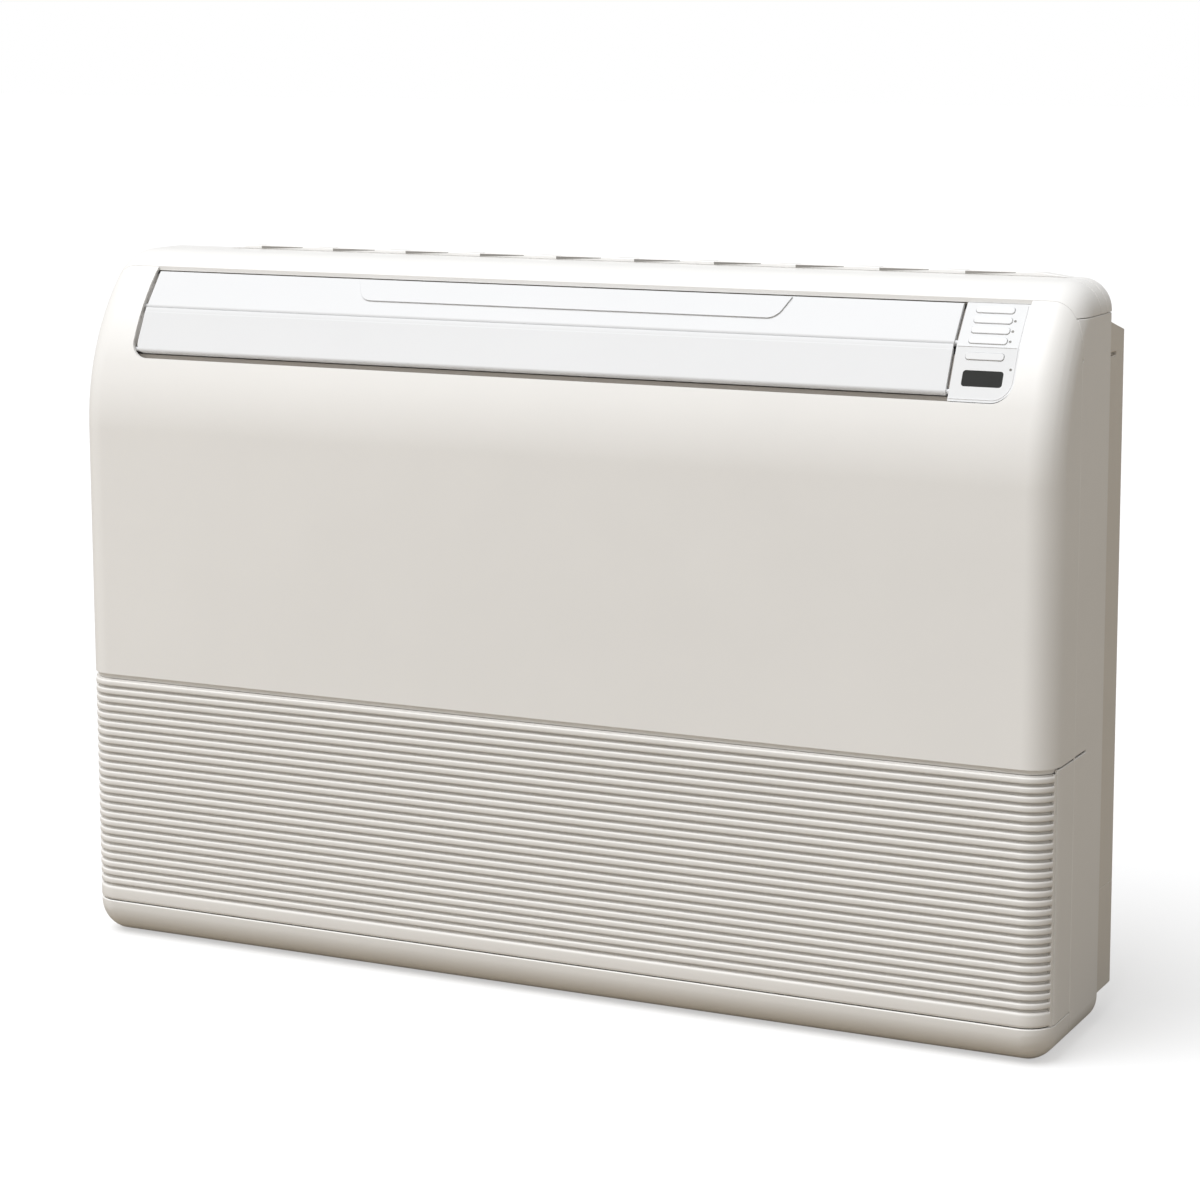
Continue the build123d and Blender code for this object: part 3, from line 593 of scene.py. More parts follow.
class Tree(Builder):
    """A Geometry Nodes tree with named inputs."""

    KINDS = {float: "NodeSocketFloat", int: "NodeSocketInt", bpy.types.Object: "NodeSocketObject",
             bpy.types.Material: "NodeSocketMaterial", Vector: "NodeSocketVector"}

    def __init__(self, name, inputs):
        group = bpy.data.node_groups.new(name, "GeometryNodeTree")
        super().__init__(group)
        group.interface.new_socket("Geometry", in_out="OUTPUT", socket_type="NodeSocketGeometry")
        self.values = inputs
        self.identifiers = {}
        for label, value in inputs.items():
            kind = next(kind for sort, kind in self.KINDS.items() if isinstance(value, sort))
            socket = group.interface.new_socket(label, in_out="INPUT", socket_type=kind)
            self.identifiers[label] = socket.identifier
        self.source = group.nodes.new("NodeGroupInput")

    def __getitem__(self, label):
        return Socket(self, self.source.outputs[label])

    def vector(self, x=0.0, y=0.0, z=0.0):
        return self.add("ShaderNodeCombineXYZ", {}, {0: x, 1: y, 2: z})

    def repeat(self, shape, number, start, step):
        """Copies of a shape along a straight line."""
        line = self.add("GeometryNodeMeshLine", {"mode": "OFFSET"}, {
            "Count": number, "Start Location": start, "Offset": step,
        })
        return self.add("GeometryNodeInstanceOnPoints", {}, {"Points": line, "Instance": shape})

    def moved(self, shape, place, rotation=(0.0, 0.0, 0.0)):
        return self.add("GeometryNodeTransform", {}, {
            "Geometry": shape, "Translation": place, "Rotation": rotation,
        })

    def box(self, *sides):
        return self.add("GeometryNodeMeshCube", {}, {"Size": self.vector(*sides)})

    def shape(self, label):
        """Geometry of the object that an input names."""
        return self.add("GeometryNodeObjectInfo", {}, {"Object": self[label]}, "Geometry")

    def path(self, label):
        """Edges of the object that an input names, as a curve."""
        return self.add("GeometryNodeMeshToCurve", {}, {"Mesh": self.shape(label)})

    def circle(self, points, radius):
        return self.add("GeometryNodeCurvePrimitiveCircle", {"mode": "RADIUS"}, {
            "Resolution": points, "Radius": radius,
        })

    def tube(self, path, section, caps=True):
        return self.add("GeometryNodeCurveToMesh", {}, {
            "Curve": path, "Profile Curve": section, "Fill Caps": caps,
        })

    def made(self, shapes):
        """The finished tree's result as a plain mesh."""
        whole = self.add("GeometryNodeJoinGeometry", {}, {"Geometry": shapes})
        real = self.add("GeometryNodeRealizeInstances", {}, {"Geometry": whole})
        done = self.add("GeometryNodeSetMaterial", {}, {"Geometry": real, "Material": self["Material"]})
        output = self.tree.nodes.new("NodeGroupOutput")
        self.feed(output.inputs[0], done)
        holder = placed(self.tree.name, bpy.data.meshes.new(self.tree.name))
        modifier = holder.modifiers.new("tree", "NODES")
        modifier.node_group = self.tree
        for label, value in self.values.items():
            modifier[self.identifiers[label]] = value
        seen = holder.evaluated_get(bpy.context.evaluated_depsgraph_get())
        mesh = bpy.data.meshes.new_from_object(seen)
        holder.modifiers.remove(modifier)
        bpy.data.objects.remove(holder)
        if not mesh.polygons:
            raise RuntimeError(f"{self.tree.name} made no faces")
        return mesh


def outline_object(name, points):
    """A closed outline, turned so that a tree sweeps its depths inwards and its heights up."""
    mesh = bpy.data.meshes.new(name)
    links = [(index, (index + 1) % len(points)) for index in range(len(points))]
    mesh.from_pydata([(-depth, -height, 0.0) for depth, height in points], links, [])
    return placed(name, mesh)


def arc(centre, radii, start, end, steps):
    """Points on an elliptical arc, angles in degrees."""
    points = []
    for index in range(steps + 1):
        angle = math.radians(start + (end - start) * index / steps)
        points.append((centre[0] + radii[0] * math.cos(angle), centre[1] + radii[1] * math.sin(angle)))
    return points


def beaded(name, points, links, radius, material):
    """A fine round bead along the links between points."""
    path = bpy.data.meshes.new(name + "_path")
    path.from_pydata(points, links, [])
    holder = placed(name + "_path", path)
    tree = Tree(name, {"Path": holder, "Radius": radius, "Material": material})
    bead = tree.tube(tree.path("Path"), tree.circle(10, tree["Radius"]))
    mesh = joined([tree.made([bead])])
    smooth(mesh, 50)
    bpy.data.objects.remove(holder)
    return mesh


# Operators

class AC_OT_covers(bpy.types.Operator):
    """Dress the moulded covers of the cabinet"""
    bl_idname = "ac.covers"
    bl_label = "Covers"

    def execute(self, context):
        look = context.scene.ac_covers
        ivory = moulded("ivory_cover_plastic", look.colour, 0.42)
        for node in ("front_panel", "top_cap", "top_rim", "base_rail",
                     "grille_left_cheek", "grille_right_cheek"):
            dressed(node, ivory, look.edge)
        for node in ("left_side_panel", "right_side_panel"):
            dressed(node, ivory, look.joint)
        self.slot_mouths(look)
        self.seam_beads(look)
        return {"FINISHED"}

    @staticmethod
    def seam_beads(look):
        """Fine upright beads along the front and back edges of the side panels, lighter than the covers as
        a painted highlight along the seams.
        """
        low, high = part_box("right_side_panel")
        bottom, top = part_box("base_rail")[1].z + 0.001, high.z - look.bead_drop
        # Lighter moulding that paints the seams' highlight
        light = moulded("light_bead_plastic", look.bead_highlight_colour, 0.42)
        tree = Tree("seam_beads", {
            "Radius": look.bead, "Height": top - bottom, "Reach": high.x - look.bead,
            "Ahead": low.y, "Behind": high.y - look.bead, "Middle": (bottom + top) / 2, "Material": light,
        })
        bead = tree.add("GeometryNodeMeshCylinder", {}, {
            "Vertices": 12, "Side Segments": 1, "Fill Segments": 1,
            "Radius": tree["Radius"], "Depth": tree["Height"],
        }, "Mesh")
        places = [tree.vector(tree["Reach"] * side, tree[row], tree["Middle"])
                  for side in (-1.0, 1.0) for row in ("Ahead", "Behind")]
        mesh = tree.made([tree.moved(bead, place) for place in places])
        smooth(mesh, 50)
        added(mesh, "seam_beads", light, CABINET, "right_side_panel")

    @staticmethod
    def slot_mouths(look):
        """Dark wedges on the rim's front wall, each narrowing to the right: painted shadow in the mouths of
        the rim's slots.
        """
        # Dark moulding that paints the shadow inside the slots' mouths
        dark = inner_moulding("dark_slot_plastic", look.slot_shadow_colour)
        low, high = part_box("top_rim")
        bottom, tall, thin, proud = low.z + 0.0004, 0.0026, 0.0005, 0.0002
        top, end = bottom + tall, look.slot_mouth
        outline = [(0.0, bottom), (end, top - thin), (end, top), (0.0, top)]
        walls = [[(x, low.y + y, z) for x, z in outline] for y in (-proud, proud)]
        source = placed("slot_mouth", prism("slot_mouth", *walls))
        step = (high.x - low.x - 2 * look.slot_slope) / look.slots
        margin = step * 0.12
        tree = Tree("slot_mouths", {
            "Mouth": source, "Count": look.slots, "Step": step,
            "First": low.x + look.slot_slope + margin, "Material": dark,
        })
        start, step = tree.vector(tree["First"]), tree.vector(tree["Step"])
        row = tree.repeat(tree.shape("Mouth"), tree["Count"], start, step)
        mesh = joined([tree.made([row])])
        bpy.data.objects.remove(source)
        added(mesh, "rim_slot_mouths", dark, CABINET, "blower_housing")


def rib_profile(look):
    """Outline of one blade: depth behind the front and height above the blade's middle."""
    half = (look.pitch - look.slot) / 2
    bend = (look.crest, half - look.flat)
    crest = arc((look.crest, -look.flat), bend, 270, 180, 6)
    crest += arc((look.crest, look.flat), bend, 180, 90, 6)
    top = half + look.climb
    return crest + web_rise(look, half) + [(look.blade, top), (look.blade, top - look.web)]


def web_rise(look, level):
    """Front of a web where it climbs behind the slot above a crest."""
    return [(look.crest + look.setback, level), (look.crest + look.lean, level + look.slot * look.cover)]


def foot_profile(look):
    """Outline of the plain strip under the ribs, its lower edge a bead."""
    bead, top = look.bead, look.foot - look.slot / 2
    turn_in = arc((look.crest, top - look.crest), (look.crest, look.crest), 180, 90, 6)
    under = arc((bead, bead), (bead, bead), 360, 180, 12)
    rise = web_rise(look, top)
    return under + turn_in + rise + [(look.blade, rise[-1][1]), (look.blade, 2 * bead)]


def swept(look, name, profile, material, number, first, wrap):
    """A front outline run along the front and round both corners, repeated upwards."""
    outline = outline_object(name + "_outline", profile)
    tree = Tree(name, {
        "Outline": outline, "Half Width": HALF_WIDTH, "Front": FRONT, "Corner Radius": look.radius,
        "Wrap Angle": wrap, "Count": number, "First Height": first, "Pitch": look.pitch,
        "Material": material,
    })
    half, rear = tree["Half Width"], tree["Front"] + tree["Corner Radius"]
    corners = {
        "Point 1": tree.vector(half * -1.0, rear), "Point 2": tree.vector(half * -1.0, tree["Front"]),
        "Point 3": tree.vector(half, tree["Front"]), "Point 4": tree.vector(half, rear),
    }
    path = tree.add("GeometryNodeCurvePrimitiveQuadrilateral", {"mode": "POINTS"}, corners)
    path = tree.add("GeometryNodeSetSplineCyclic", {}, {"Geometry": path, "Cyclic": False})
    path = tree.add("GeometryNodeFilletCurve", {"mode": "POLY"}, {
        "Curve": path, "Count": 22, "Radius": tree["Corner Radius"], "Limit Radius": True,
    })
    spare = (math.pi / 2 - tree["Wrap Angle"]) * tree["Corner Radius"]
    length = tree.add("GeometryNodeCurveLength", {}, {"Curve": path})
    path = tree.add("GeometryNodeTrimCurve", {"mode": "LENGTH"}, {
        "Curve": path, 4: spare, 5: length - spare,
    })
    path = tree.add("GeometryNodeSetCurveNormal", {"mode": "Z_UP"}, {"Curve": path})
    blade = tree.tube(path, tree.path("Outline"))
    start, step = tree.vector(z=tree["First Height"]), tree.vector(z=tree["Pitch"])
    mesh = tree.made([tree.repeat(blade, tree["Count"], start, step)])
    bpy.data.objects.remove(outline)
    return mesh


class AC_OT_grille(bpy.types.Operator):
    """Make the ribbed intake grille"""
    bl_idname = "ac.grille"
    bl_label = "Intake grille"

    def execute(self, context):
        look = context.scene.ac_grille
        plastic = moulded("ivory_grille_plastic", look.colour, 0.46)
        low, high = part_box("intake_grille")
        first = low.z + look.foot + look.pitch / 2
        ribs = swept(look, "grille_ribs", rib_profile(look), plastic, look.ribs, first, look.wrap)
        foot = swept(look, "grille_foot", foot_profile(look), plastic, 1, low.z, look.wrap)
        uprights = self.uprights(look, plastic, low, high)
        mesh = joined([self.trimmed(ribs, high.z), foot, uprights])
        smooth(mesh, 34)
        added(mesh, "ribbed_grille", plastic, "grille", "intake_grille", "intake_grille")
        self.groove_liner(look, high.z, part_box("front_panel")[0].z)
        return {"FINISHED"}

    @staticmethod
    def groove_liner(look, low, high):
        """Ivory strip at the back of the open line between the grille and the front panel."""
        plastic = bpy.data.materials["ivory_cover_plastic"]
        near, far = 0.0034, 0.0056
        clearance, overlap, wrap = 0.0007, 0.005, math.radians(89)
        end = high - low + overlap
        outline = [(near, clearance), (near, end), (far, end), (far, clearance)]
        mesh = joined([swept(look, "groove_liner", outline, plastic, 1, low, wrap)])
        smooth(mesh, 34)
        added(mesh, "groove_liner", plastic, CABINET, "front_panel")

    @staticmethod
    def trimmed(mesh, top):
        """The ribs cut level at the grille's top."""
        form = bmesh.new()
        form.from_mesh(mesh)
        cut = bmesh.ops.bisect_plane(
            form, geom=form.verts[:] + form.edges[:] + form.faces[:],
            plane_co=(0, 0, top), plane_no=(0, 0, 1), clear_outer=True,
        )
        edges = [item for item in cut["geom_cut"] if isinstance(item, bmesh.types.BMEdge)]
        bmesh.ops.holes_fill(form, edges=edges, sides=0)
        return mesh_of(form, "grille_ribs")

    @staticmethod
    def uprights(look, material, low, high):
        """Stiles behind the ribs and a closing stile at each end."""
        start = low.z + 2 * look.bead
        tall = high.z - start
        tree = Tree("grille_stiles", {
            "Count": look.stiles, "Width": look.stile, "Depth": look.stile_back, "Height": tall,
            "Behind": FRONT + look.blade + look.stile_back / 2, "Middle": start + tall / 2,
            "Step": 2 * (HALF_WIDTH - look.radius) / (look.stiles + 1), "Material": material,
        })
        bar = tree.box(tree["Width"], tree["Depth"], tree["Height"])
        first = (tree["Count"] - 1.0) * tree["Step"] * -0.5
        start = tree.vector(first, tree["Behind"], tree["Middle"])
        mesh = tree.made([tree.repeat(bar, tree["Count"], start, tree.vector(tree["Step"]))])
        form = bmesh.new()
        form.from_mesh(mesh)
        span = look.stile / look.radius
        for side in (-1, 1):
            rings = []
            for step in range(4):
                angle = look.wrap + span * step / 3
                ring = []
                for inset, z in ((0, low.z), (look.blade, low.z), (look.blade, high.z), (0, high.z)):
                    reach = look.radius - inset
                    x = side * (HALF_WIDTH - look.radius + reach * math.sin(angle))
                    ring.append(form.verts.new((x, FRONT + look.radius - reach * math.cos(angle), z)))
                rings.append(ring)
            for first_ring, next_ring in zip(rings, rings[1:]):
                for index in range(4):
                    after = (index + 1) % 4
                    form.faces.new((first_ring[index], first_ring[after],
                                    next_ring[after], next_ring[index]))
            form.faces.new(rings[0])
            form.faces.new(rings[-1])
        return mesh_of(form, "grille_uprights")


class AC_OT_louvers(bpy.types.Operator):
    """Dress the two louvers of the outlet"""
    bl_idname = "ac.louvers"
    bl_label = "Louvers"

    def execute(self, context):
        look = context.scene.ac_louvers
        white = moulded("white_louver_plastic", look.colour, 0.42, 0.03, 0.2)
        for node in ("lower_louver", "upper_louver"):
            dressed(node, white, look.edge)
        self.lip(white)
        self.seals(look)
        self.tab(look, white)
        return {"FINISHED"}

    @staticmethod
    def tab(look, material):
        """Plate of the raised tab on the upper louver, and a fine grey line along its edge that paints the
        shade at the tab's step.
        """
        # Grey moulding that paints the shade along the tab's step
        grey = moulded("grey_tab_line", look.tab_shade_colour, 0.5, 0.02, 0.2)
        half, slant, height, corner = look.tab_width / 2, look.tab_slant, look.tab_height, look.tab_corner
        tip, sunk, drop = 0.002, 0.0005, 0.0003
        lean = math.degrees(math.atan2(slant, height))
        reach = corner * math.tan(math.radians(90 - lean) / 2)
        side = arc((half - slant - reach, corner - height), (corner, corner), 270, 360 - lean, 10)
        side.append((half - slant * tip / math.hypot(slant, height), -tip))
        outline = [(-x, y) for x, y in reversed(side)] + side
        (top_depth, top_height), (deeper, higher) = UPPER_TOP, UPPER_RUN

        def on_face(rise):
            return [(look.tab_middle + x, FRONT + top_depth + y * deeper - rise * higher,
                     top_height + y * higher + rise * deeper) for x, y in outline]

        links = [(index, index + 1) for index in range(len(outline) - 1)]
        line = beaded("tab_line", on_face(look.tab_rise - drop), links, look.tab_line, grey)
        added(line, "tab_line", grey, "upper_louver", "upper_louver")
        plate = prism("tab_plate", on_face(-sunk), on_face(look.tab_rise))
        smooth(plate, 30)
        added(plate, "tab_plate", material, "upper_louver", "upper_louver")

    @staticmethod
    def seals(look):
        """Sill under the lower louver and seals above and beside both louvers, clear of their pins, in a
        dark taupe that paints the shade in the gaps round the louvers.
        """
        # Darkened moulding that paints the shade in the louvers' gaps
        pale = moulded("pale_seal_plastic", look.seal_shade_colour, 0.5, 0.06)
        low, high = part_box("lower_louver")
        inset, width, setback, thick = 0.004, 0.0024, 0.0034, 0.002
        left, right = low.x + inset, high.x - inset
        strips = [(left, right, *SILL), (left, right, *TOP_SEAL)]
        for (depth, level), (deeper, higher), run in SIDE_SEALS:
            edges = [(depth + deeper * way + higher * setback, level + higher * way - deeper * setback)
                     for way in run]
            back = (higher * thick, -deeper * thick)
            strips += [(left, left + width, edges, back), (right - width, right, edges, back)]
        plates = []
        for near, far, (lower, upper), (deeper, higher) in strips:
            corners = [(near, *lower), (far, *lower), (far, *upper), (near, *upper)]
            face = [(x, FRONT + depth, z) for x, depth, z in corners]
            rear = [(x, y + deeper, z + higher) for x, y, z in face]
            plates.append(prism("louver_seal", face, rear))
        added(joined(plates), "louver_seals", pale, CABINET, "duct_floor")

    @staticmethod
    def lip(material):
        """Thin lip along the lower louver's free edge that covers the line between the louvers."""
        low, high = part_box("lower_louver")
        inset = 0.0071
        ends = [[(x, FRONT + depth, high.z + rise) for depth, rise in LIP]
                for x in (low.x + inset, high.x - inset)]
        mesh = prism("louver_lip", *ends)
        smooth(mesh, 20)
        added(mesh, "louver_lip", material, "lower_louver", "lower_louver")


class AC_OT_controls(bpy.types.Operator):
    """Dress the control panel, its buttons, lamps and display"""
    bl_idname = "ac.controls"
    bl_label = "Controls"

    def execute(self, context):
        look = context.scene.ac_controls
        panel = moulded("white_control_plastic", look.colour, 0.42, 0.03, 0.2)
        key = moulded("white_button_plastic", look.button_colour, 0.38, 0.02, 0.25)
        glass = dark_window("smoked_display_window", look.glass_colour)
        lens = smoked_lens("smoked_lamp_lens", look.lens_colour)
        dressed("control_panel", panel, 0.0, CREASE)
        for number in range(1, 6):
            dressed(f"button_{number}", key, look.edge)
        dressed("display_window", glass, 0.0, CREASE)
        for node in ("pilot_lamp", "button_lamps"):
            dressed(node, lens, 0.0)
        self.rim(look, panel)
        return {"FINISHED"}

    @staticmethod
    def rim(look, material):
        """Fine bead inside the panel's right and lower edges, and one along its crease."""
        low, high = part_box("control_panel")
        crease, inset, corner = look.crease, look.rim_inset, look.rim_corner
        margin = 0.001
        left, right, bottom = low.x + margin, high.x - inset, low.z + inset

        def on_face(x, z):
            slope = look.upper_slope if z > crease else look.lower_slope
            return x, FRONT + look.crease_depth + (z - crease) * slope, z

        edge = [(left, bottom), (right - corner, bottom)]
        edge += arc((right - corner, bottom + corner), (corner, corner), 270, 360, 10)
        edge += [(right, crease), (right, high.z - margin)]
        line = [(left, crease), (right, crease)]
        points = [on_face(x, z) for x, z in edge + line]
        links = [(index, index + 1) for index in range(len(edge) - 1)] + [(len(edge), len(edge) + 1)]
        mesh = beaded("panel_rim", points, links, look.rim, material)
        added(mesh, "panel_rim", material, CABINET, "control_panel")


class AC_OT_air_path(bpy.types.Operator):
    """Dress the filters, the duct, the vanes and the coil"""
    bl_idname = "ac.air_path"
    bl_label = "Air path"

    def execute(self, context):
        look = context.scene.ac_air_path
        dark = inner_moulding("dark_inner_plastic", look.inner_colour)
        gauze = woven_filter("woven_filter_gauze", look.filter_colour)
        metal = pressed_aluminium("pressed_coil_fins", look.fin_colour)
        duct = moulded("pale_duct_plastic", look.duct_colour, 0.5, 0.08)
        for node in ("blower_housing", "coil_housing", "vertical_vanes", "vane_rail"):
            dressed(node, dark, 0.0)
        for node in ("duct_floor", "duct_roof", "duct_left_wall", "duct_right_wall"):
            dressed(node, duct, 0.0)
        for node in ("air_filter_left", "air_filter_right"):
            dressed(node, gauze, 0.0006)
            self.filter_bars(look, node, gauze)
        dressed("evaporator_coil", metal, 0.0)
        self.fins(look, metal)
        return {"FINISHED"}

    @staticmethod
    def filter_bars(look, node, material):
        """Thin bars that hold a filter's gauze flat."""
        low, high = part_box(node)
        wide, deep, tall = high - low
        margin, share = 0.002, 0.8
        tree = Tree(node + "_bars", {
            "Width": look.bar, "Depth": deep * share, "Pitch": look.bar_pitch,
            "Upright Count": int(wide / look.bar_pitch) - 1, "Level Count": int(tall / look.bar_pitch) - 1,
            "Run": wide - margin, "Rise": tall - margin, "Centre": (low + high) / 2, "Material": material,
        })
        pitch, posts, rails = tree["Pitch"], tree["Upright Count"], tree["Level Count"]
        post = tree.box(tree["Width"], tree["Depth"], tree["Rise"])
        posts = tree.repeat(post, posts, tree.vector((posts - 1.0) * pitch * -0.5), tree.vector(pitch))
        rail = tree.box(tree["Run"], tree["Depth"], tree["Width"])
        rails = tree.repeat(rail, rails, tree.vector(z=(rails - 1.0) * pitch * -0.5), tree.vector(z=pitch))
        mesh = tree.made([tree.moved(posts, tree["Centre"]), tree.moved(rails, tree["Centre"])])
        added(mesh, node + "_bars", material, CABINET, node)

    @staticmethod
    def fins(look, material):
        """Close row of fins on the face of the coil, above the duct's floor."""
        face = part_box("evaporator_coil")[0].y
        low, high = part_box("duct_floor")
        floor, roof = high.z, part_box("duct_roof")[0].z
        first = (low.x + look.fin_pitch / 2, face - look.fin_depth / 2, (floor + roof) / 2)
        tree = Tree("coil_fins", {
            "Count": int((high.x - low.x) / look.fin_pitch), "Pitch": look.fin_pitch, "Fin": look.fin,
            "Depth": look.fin_depth, "Height": roof - floor, "Start": Vector(first), "Material": material,
        })
        fin = tree.box(tree["Fin"], tree["Depth"], tree["Height"])
        mesh = tree.made([tree.repeat(fin, tree["Count"], tree["Start"], tree.vector(tree["Pitch"]))])
        added(mesh, "coil_fin_row", material, CABINET, "evaporator_coil")


class AC_OT_rear(bpy.types.Operator):
    """Dress the casing against the wall"""
    bl_idname = "ac.rear"
    bl_label = "Rear casing"

    def execute(self, context):
        look = context.scene.ac_rear
        coat = powder_coat("ivory_casing_paint", look.colour)
        shell = moulded("ivory_casing_plastic", look.colour, 0.5, 0.12)
        for node in ("rear_casing", "pipe_bay"):
            dressed(node, shell, 0.0006)
        for node in ("bottom_plate", "cap_back"):
            dressed(node, coat, 0.0004)
        self.screws(look)
        self.gasket(look)
        return {"FINISHED"}

    @staticmethod
    def screw_head(look):
        """One domed screw head with a crossed recess, its axis along X."""
        form = bmesh.new()
        bmesh.ops.create_uvsphere(form, u_segments=28, v_segments=14, radius=look.screw)
        bmesh.ops.bisect_plane(form, geom=form.verts[:] + form.edges[:] + form.faces[:],
                               plane_co=(0, 0, 0), plane_no=(0, 0, -1), clear_outer=True)
        bmesh.ops.holes_fill(form, edges=[edge for edge in form.edges if edge.is_boundary], sides=0)
        bmesh.ops.scale(form, vec=(1.0, 1.0, 0.5), verts=form.verts)
        quarter = Matrix.Rotation(math.pi / 2, 3, "Y")
        bmesh.ops.rotate(form, cent=(0, 0, 0), matrix=quarter, verts=form.verts)
        head = placed("screw_head", mesh_of(form, "screw_head"))
        for across, upward in ((0.62, 0.14), (0.14, 0.62)):
            form = bmesh.new()
            bmesh.ops.create_cube(form, size=2 * look.screw)
            bmesh.ops.scale(form, vec=(0.3, across, upward), verts=form.verts)
            bmesh.ops.translate(form, vec=(look.screw * 0.5, 0, 0), verts=form.verts)
            cutter = placed("screw_recess", mesh_of(form, "screw_recess"))
            cut = head.modifiers.new("recess", "BOOLEAN")
            cut.object = cutter
            cut.operation = "DIFFERENCE"
            seen = head.evaluated_get(bpy.context.evaluated_depsgraph_get())
            mesh = bpy.data.meshes.new_from_object(seen)
            head.modifiers.remove(cut)
            head.data = mesh
            bpy.data.objects.remove(cutter)
        return head

    def screws(self, look):
        """Screws along the sloping top of the rear casing."""
        steel = bright_steel("plated_screw_steel", look.screw_colour)
        low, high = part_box("rear_casing")
        head = self.screw_head(look)
        share = 0.44
        half, slope = (high.x - low.x) * share, look.top_fall / (high.y - low.y)
        tree = Tree("casing_screws", {
            "Head": head, "Count": look.screws, "First": -half, "Step": 2 * half / (look.screws - 1),
            "Depth": high.y - look.screw_setback,
            "Height": high.z - look.top_fall + look.screw_setback * slope,
            "Slope": math.atan(slope), "Material": steel,
        })
        upright = tree.moved(tree.shape("Head"), (0.0, 0.0, 0.0), (0.0, -math.pi / 2, 0.0))
        leaning = tree.moved(upright, (0.0, 0.0, 0.0), tree.vector(tree["Slope"] * -1.0))
        start = tree.vector(tree["First"], tree["Depth"], tree["Height"])
        mesh = tree.made([tree.repeat(leaning, tree["Count"], start, tree.vector(tree["Step"]))])
        smooth(mesh, 34)
        bpy.data.objects.remove(head)
        added(mesh, "casing_screws", steel, CABINET, "evaporator_coil")

    @staticmethod
    def gasket(look):
        """Foam ring that seals the pipe hole."""
        foam = closed_foam("black_gasket_foam", look.foam_colour)
        back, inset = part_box("pipe_bay")[1].y, 0.002
        middle = (look.port_x, back - inset - look.foam_length / 2, look.port_z)
        tree = Tree("pipe_gasket", {
            "Radius": look.port - look.foam / 2, "Foam": look.foam, "Length": look.foam_length,
            "Middle": Vector(middle), "Material": foam,
        })
        section = tree.add("GeometryNodeCurvePrimitiveQuadrilateral", {"mode": "RECTANGLE"}, {
            "Width": tree["Foam"], "Height": tree["Length"],
        })
        section = tree.add("GeometryNodeFilletCurve", {"mode": "POLY"}, {
            "Curve": section, "Count": 4, "Radius": tree["Foam"] * 0.3, "Limit Radius": True,
        })
        tube = tree.tube(tree.circle(72, tree["Radius"]), section, False)
        mesh = joined([tree.made([tree.moved(tube, tree["Middle"], (math.pi / 2, 0.0, 0.0))])])
        smooth(mesh, 40)
        added(mesh, "pipe_gasket", foam, CABINET, "air_filter_left")


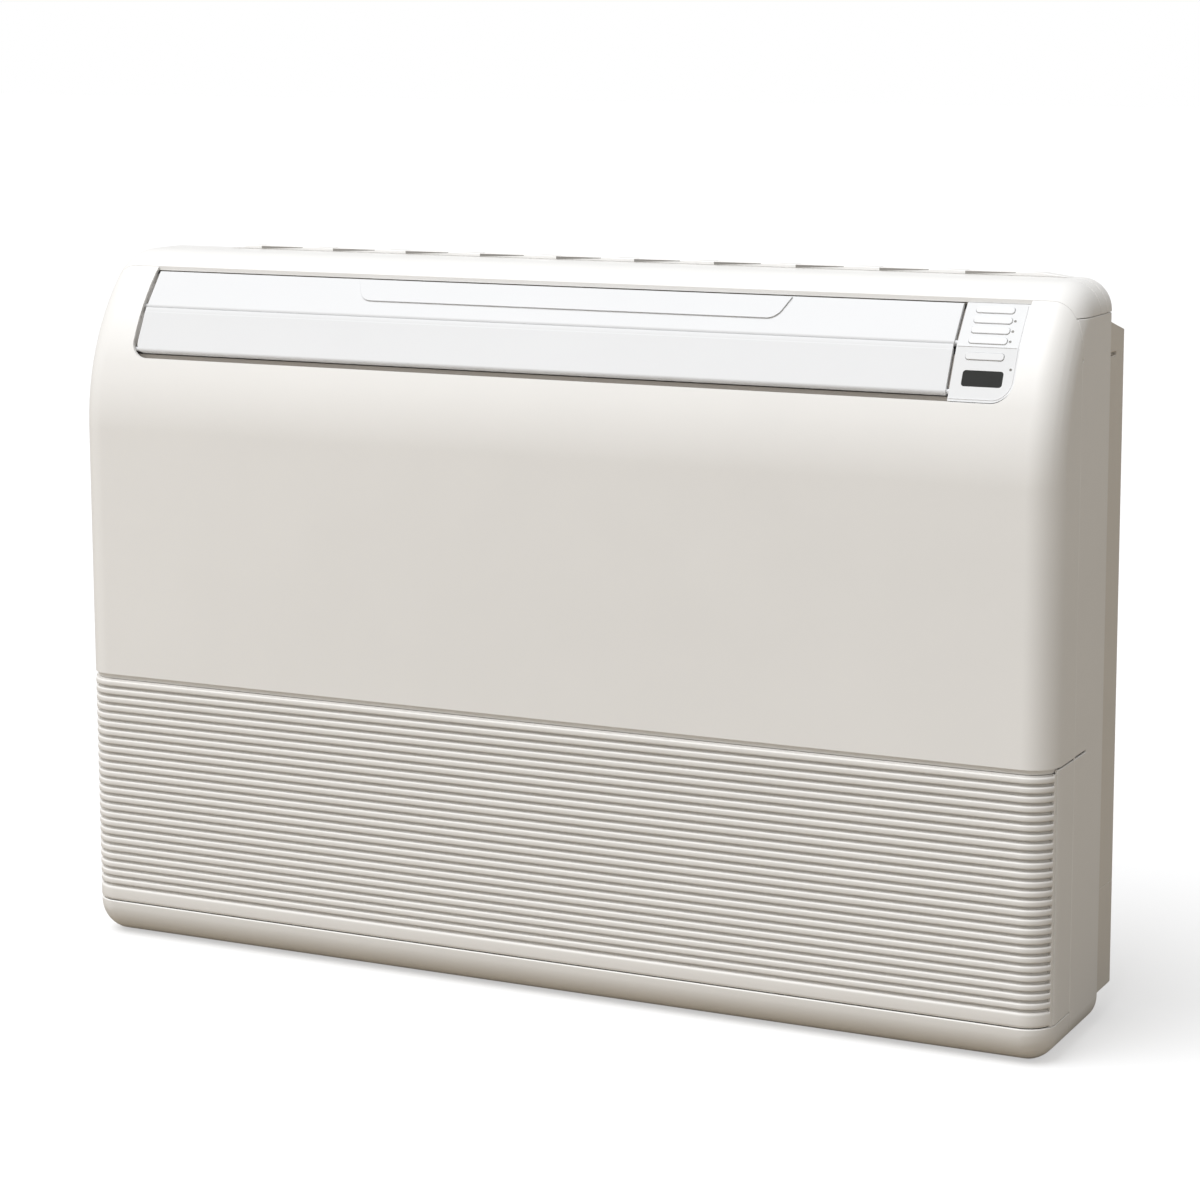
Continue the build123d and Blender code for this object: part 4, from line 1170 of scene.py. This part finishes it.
class AC_OT_stage(bpy.types.Operator):
    """Lay the floor, hang the lights and set the camera"""
    bl_idname = "ac.stage"
    bl_label = "Stage"

    def execute(self, context):
        look = context.scene.ac_stage
        self.floor(look)
        self.world(context.scene, look)
        self.lights(look)
        self.camera(context.scene, look)
        return {"FINISHED"}

    @staticmethod
    def floor(look):
        """Wide seamless floor under the unit."""
        form = bmesh.new()
        bmesh.ops.create_grid(form, x_segments=8, y_segments=8, size=30.0)
        paper = studio_floor("pale_floor_paper", look.floor_colour, look.bounce_colour)
        piece_from(mesh_of(form, "studio_floor"), "studio_floor", paper)

    @staticmethod
    def world(scene, look):
        """Even light from all round, seen by the camera as white paper."""
        world = bpy.data.worlds.new("studio")
        world.use_nodes = True
        builder = Builder(world.node_tree)
        world.node_tree.nodes.clear()
        seen = builder.add("ShaderNodeLightPath", output="Is Camera Ray")
        light, paper = [
            builder.add("ShaderNodeBackground", {}, {"Color": colour, "Strength": strength})
            for colour, strength in (((1.0, 0.995, 0.985, 1.0), look.room), ((1.0, 1.0, 1.0, 1.0), 1.0))
        ]
        both = builder.add("ShaderNodeMixShader", {}, {0: seen, 1: light, 2: paper})
        output = world.node_tree.nodes.new("ShaderNodeOutputWorld")
        builder.feed(output.inputs["Surface"], both)
        scene.world = world
        scene.view_settings.view_transform = "Standard"

    @staticmethod
    def lamp(name, kind, energy, colour, aim):
        """A light that shines along a direction."""
        data = bpy.data.lights.new(name, kind)
        data.energy, data.color = energy, colour
        lamp = placed(name, data)
        lamp.rotation_euler = aim.to_track_quat("-Z", "Y").to_euler()
        return lamp

    def lights(self, look):
        """A broad soft light high in front of the left end, and a small warm panel at the left."""
        side, height = look.sky_side, look.sky_height
        level = math.cos(height)
        fall = Vector((math.sin(side) * level, math.cos(side) * level, -math.sin(height)))
        sky = self.lamp("overhead_softbox", "SUN", look.sky, (0.98, 0.995, 1.02), fall)
        sky.data.angle = look.sky_spread
        place, target = Vector((-1.5, -1.7, 1.0)), Vector((-0.2, 0.0, 0.4))
        fill = self.lamp("left_fill", "AREA", look.fill, (1.0, 0.96, 0.9), target - place)
        fill.data.size = 1.0
        fill.location = place

    @staticmethod
    def camera(scene, look):
        """Camera at the photo's point of view."""
        data = bpy.data.cameras.new("photo_view")
        data.lens = look.lens
        data.sensor_width = 36.0
        data.shift_x, data.shift_y = -0.05, -0.08
        data.clip_end = 100.0
        camera = placed("photo_view", data)
        camera.location = (1.27726, -2.53606, 0.87639)
        camera.rotation_euler = (math.pi / 2 - look.pitch, 0.0, look.yaw)
        scene.camera = camera


class AC_PT_panel(bpy.types.Panel):
    """Steps that dress the air conditioner"""
    bl_idname = "AC_PT_panel"
    bl_label = "Air conditioner"
    bl_space_type = "VIEW_3D"
    bl_region_type = "UI"
    bl_category = "Air conditioner"

    def draw(self, context):
        for step in STEPS:
            self.layout.operator(step.bl_idname)


STEPS = (AC_OT_covers, AC_OT_grille, AC_OT_louvers, AC_OT_controls, AC_OT_air_path, AC_OT_rear, AC_OT_stage)
SETTINGS = {
    "ac_covers": CoverSettings, "ac_grille": GrilleSettings, "ac_louvers": LouverSettings,
    "ac_controls": ControlSettings, "ac_air_path": AirPathSettings, "ac_rear": RearSettings,
    "ac_stage": StageSettings,
}


def register():
    for kind in (*SETTINGS.values(), *STEPS, AC_PT_panel):
        bpy.utils.register_class(kind)
    for name, kind in SETTINGS.items():
        setattr(bpy.types.Scene, name, bpy.props.PointerProperty(type=kind))


def unregister():
    for name in SETTINGS:
        delattr(bpy.types.Scene, name)
    for kind in (AC_PT_panel, *reversed(STEPS), *SETTINGS.values()):
        bpy.utils.unregister_class(kind)


def main():
    register()
    for step in STEPS:
        family, name = step.bl_idname.split(".")
        getattr(getattr(bpy.ops, family), name)()


if __name__ == "__main__":
    main()
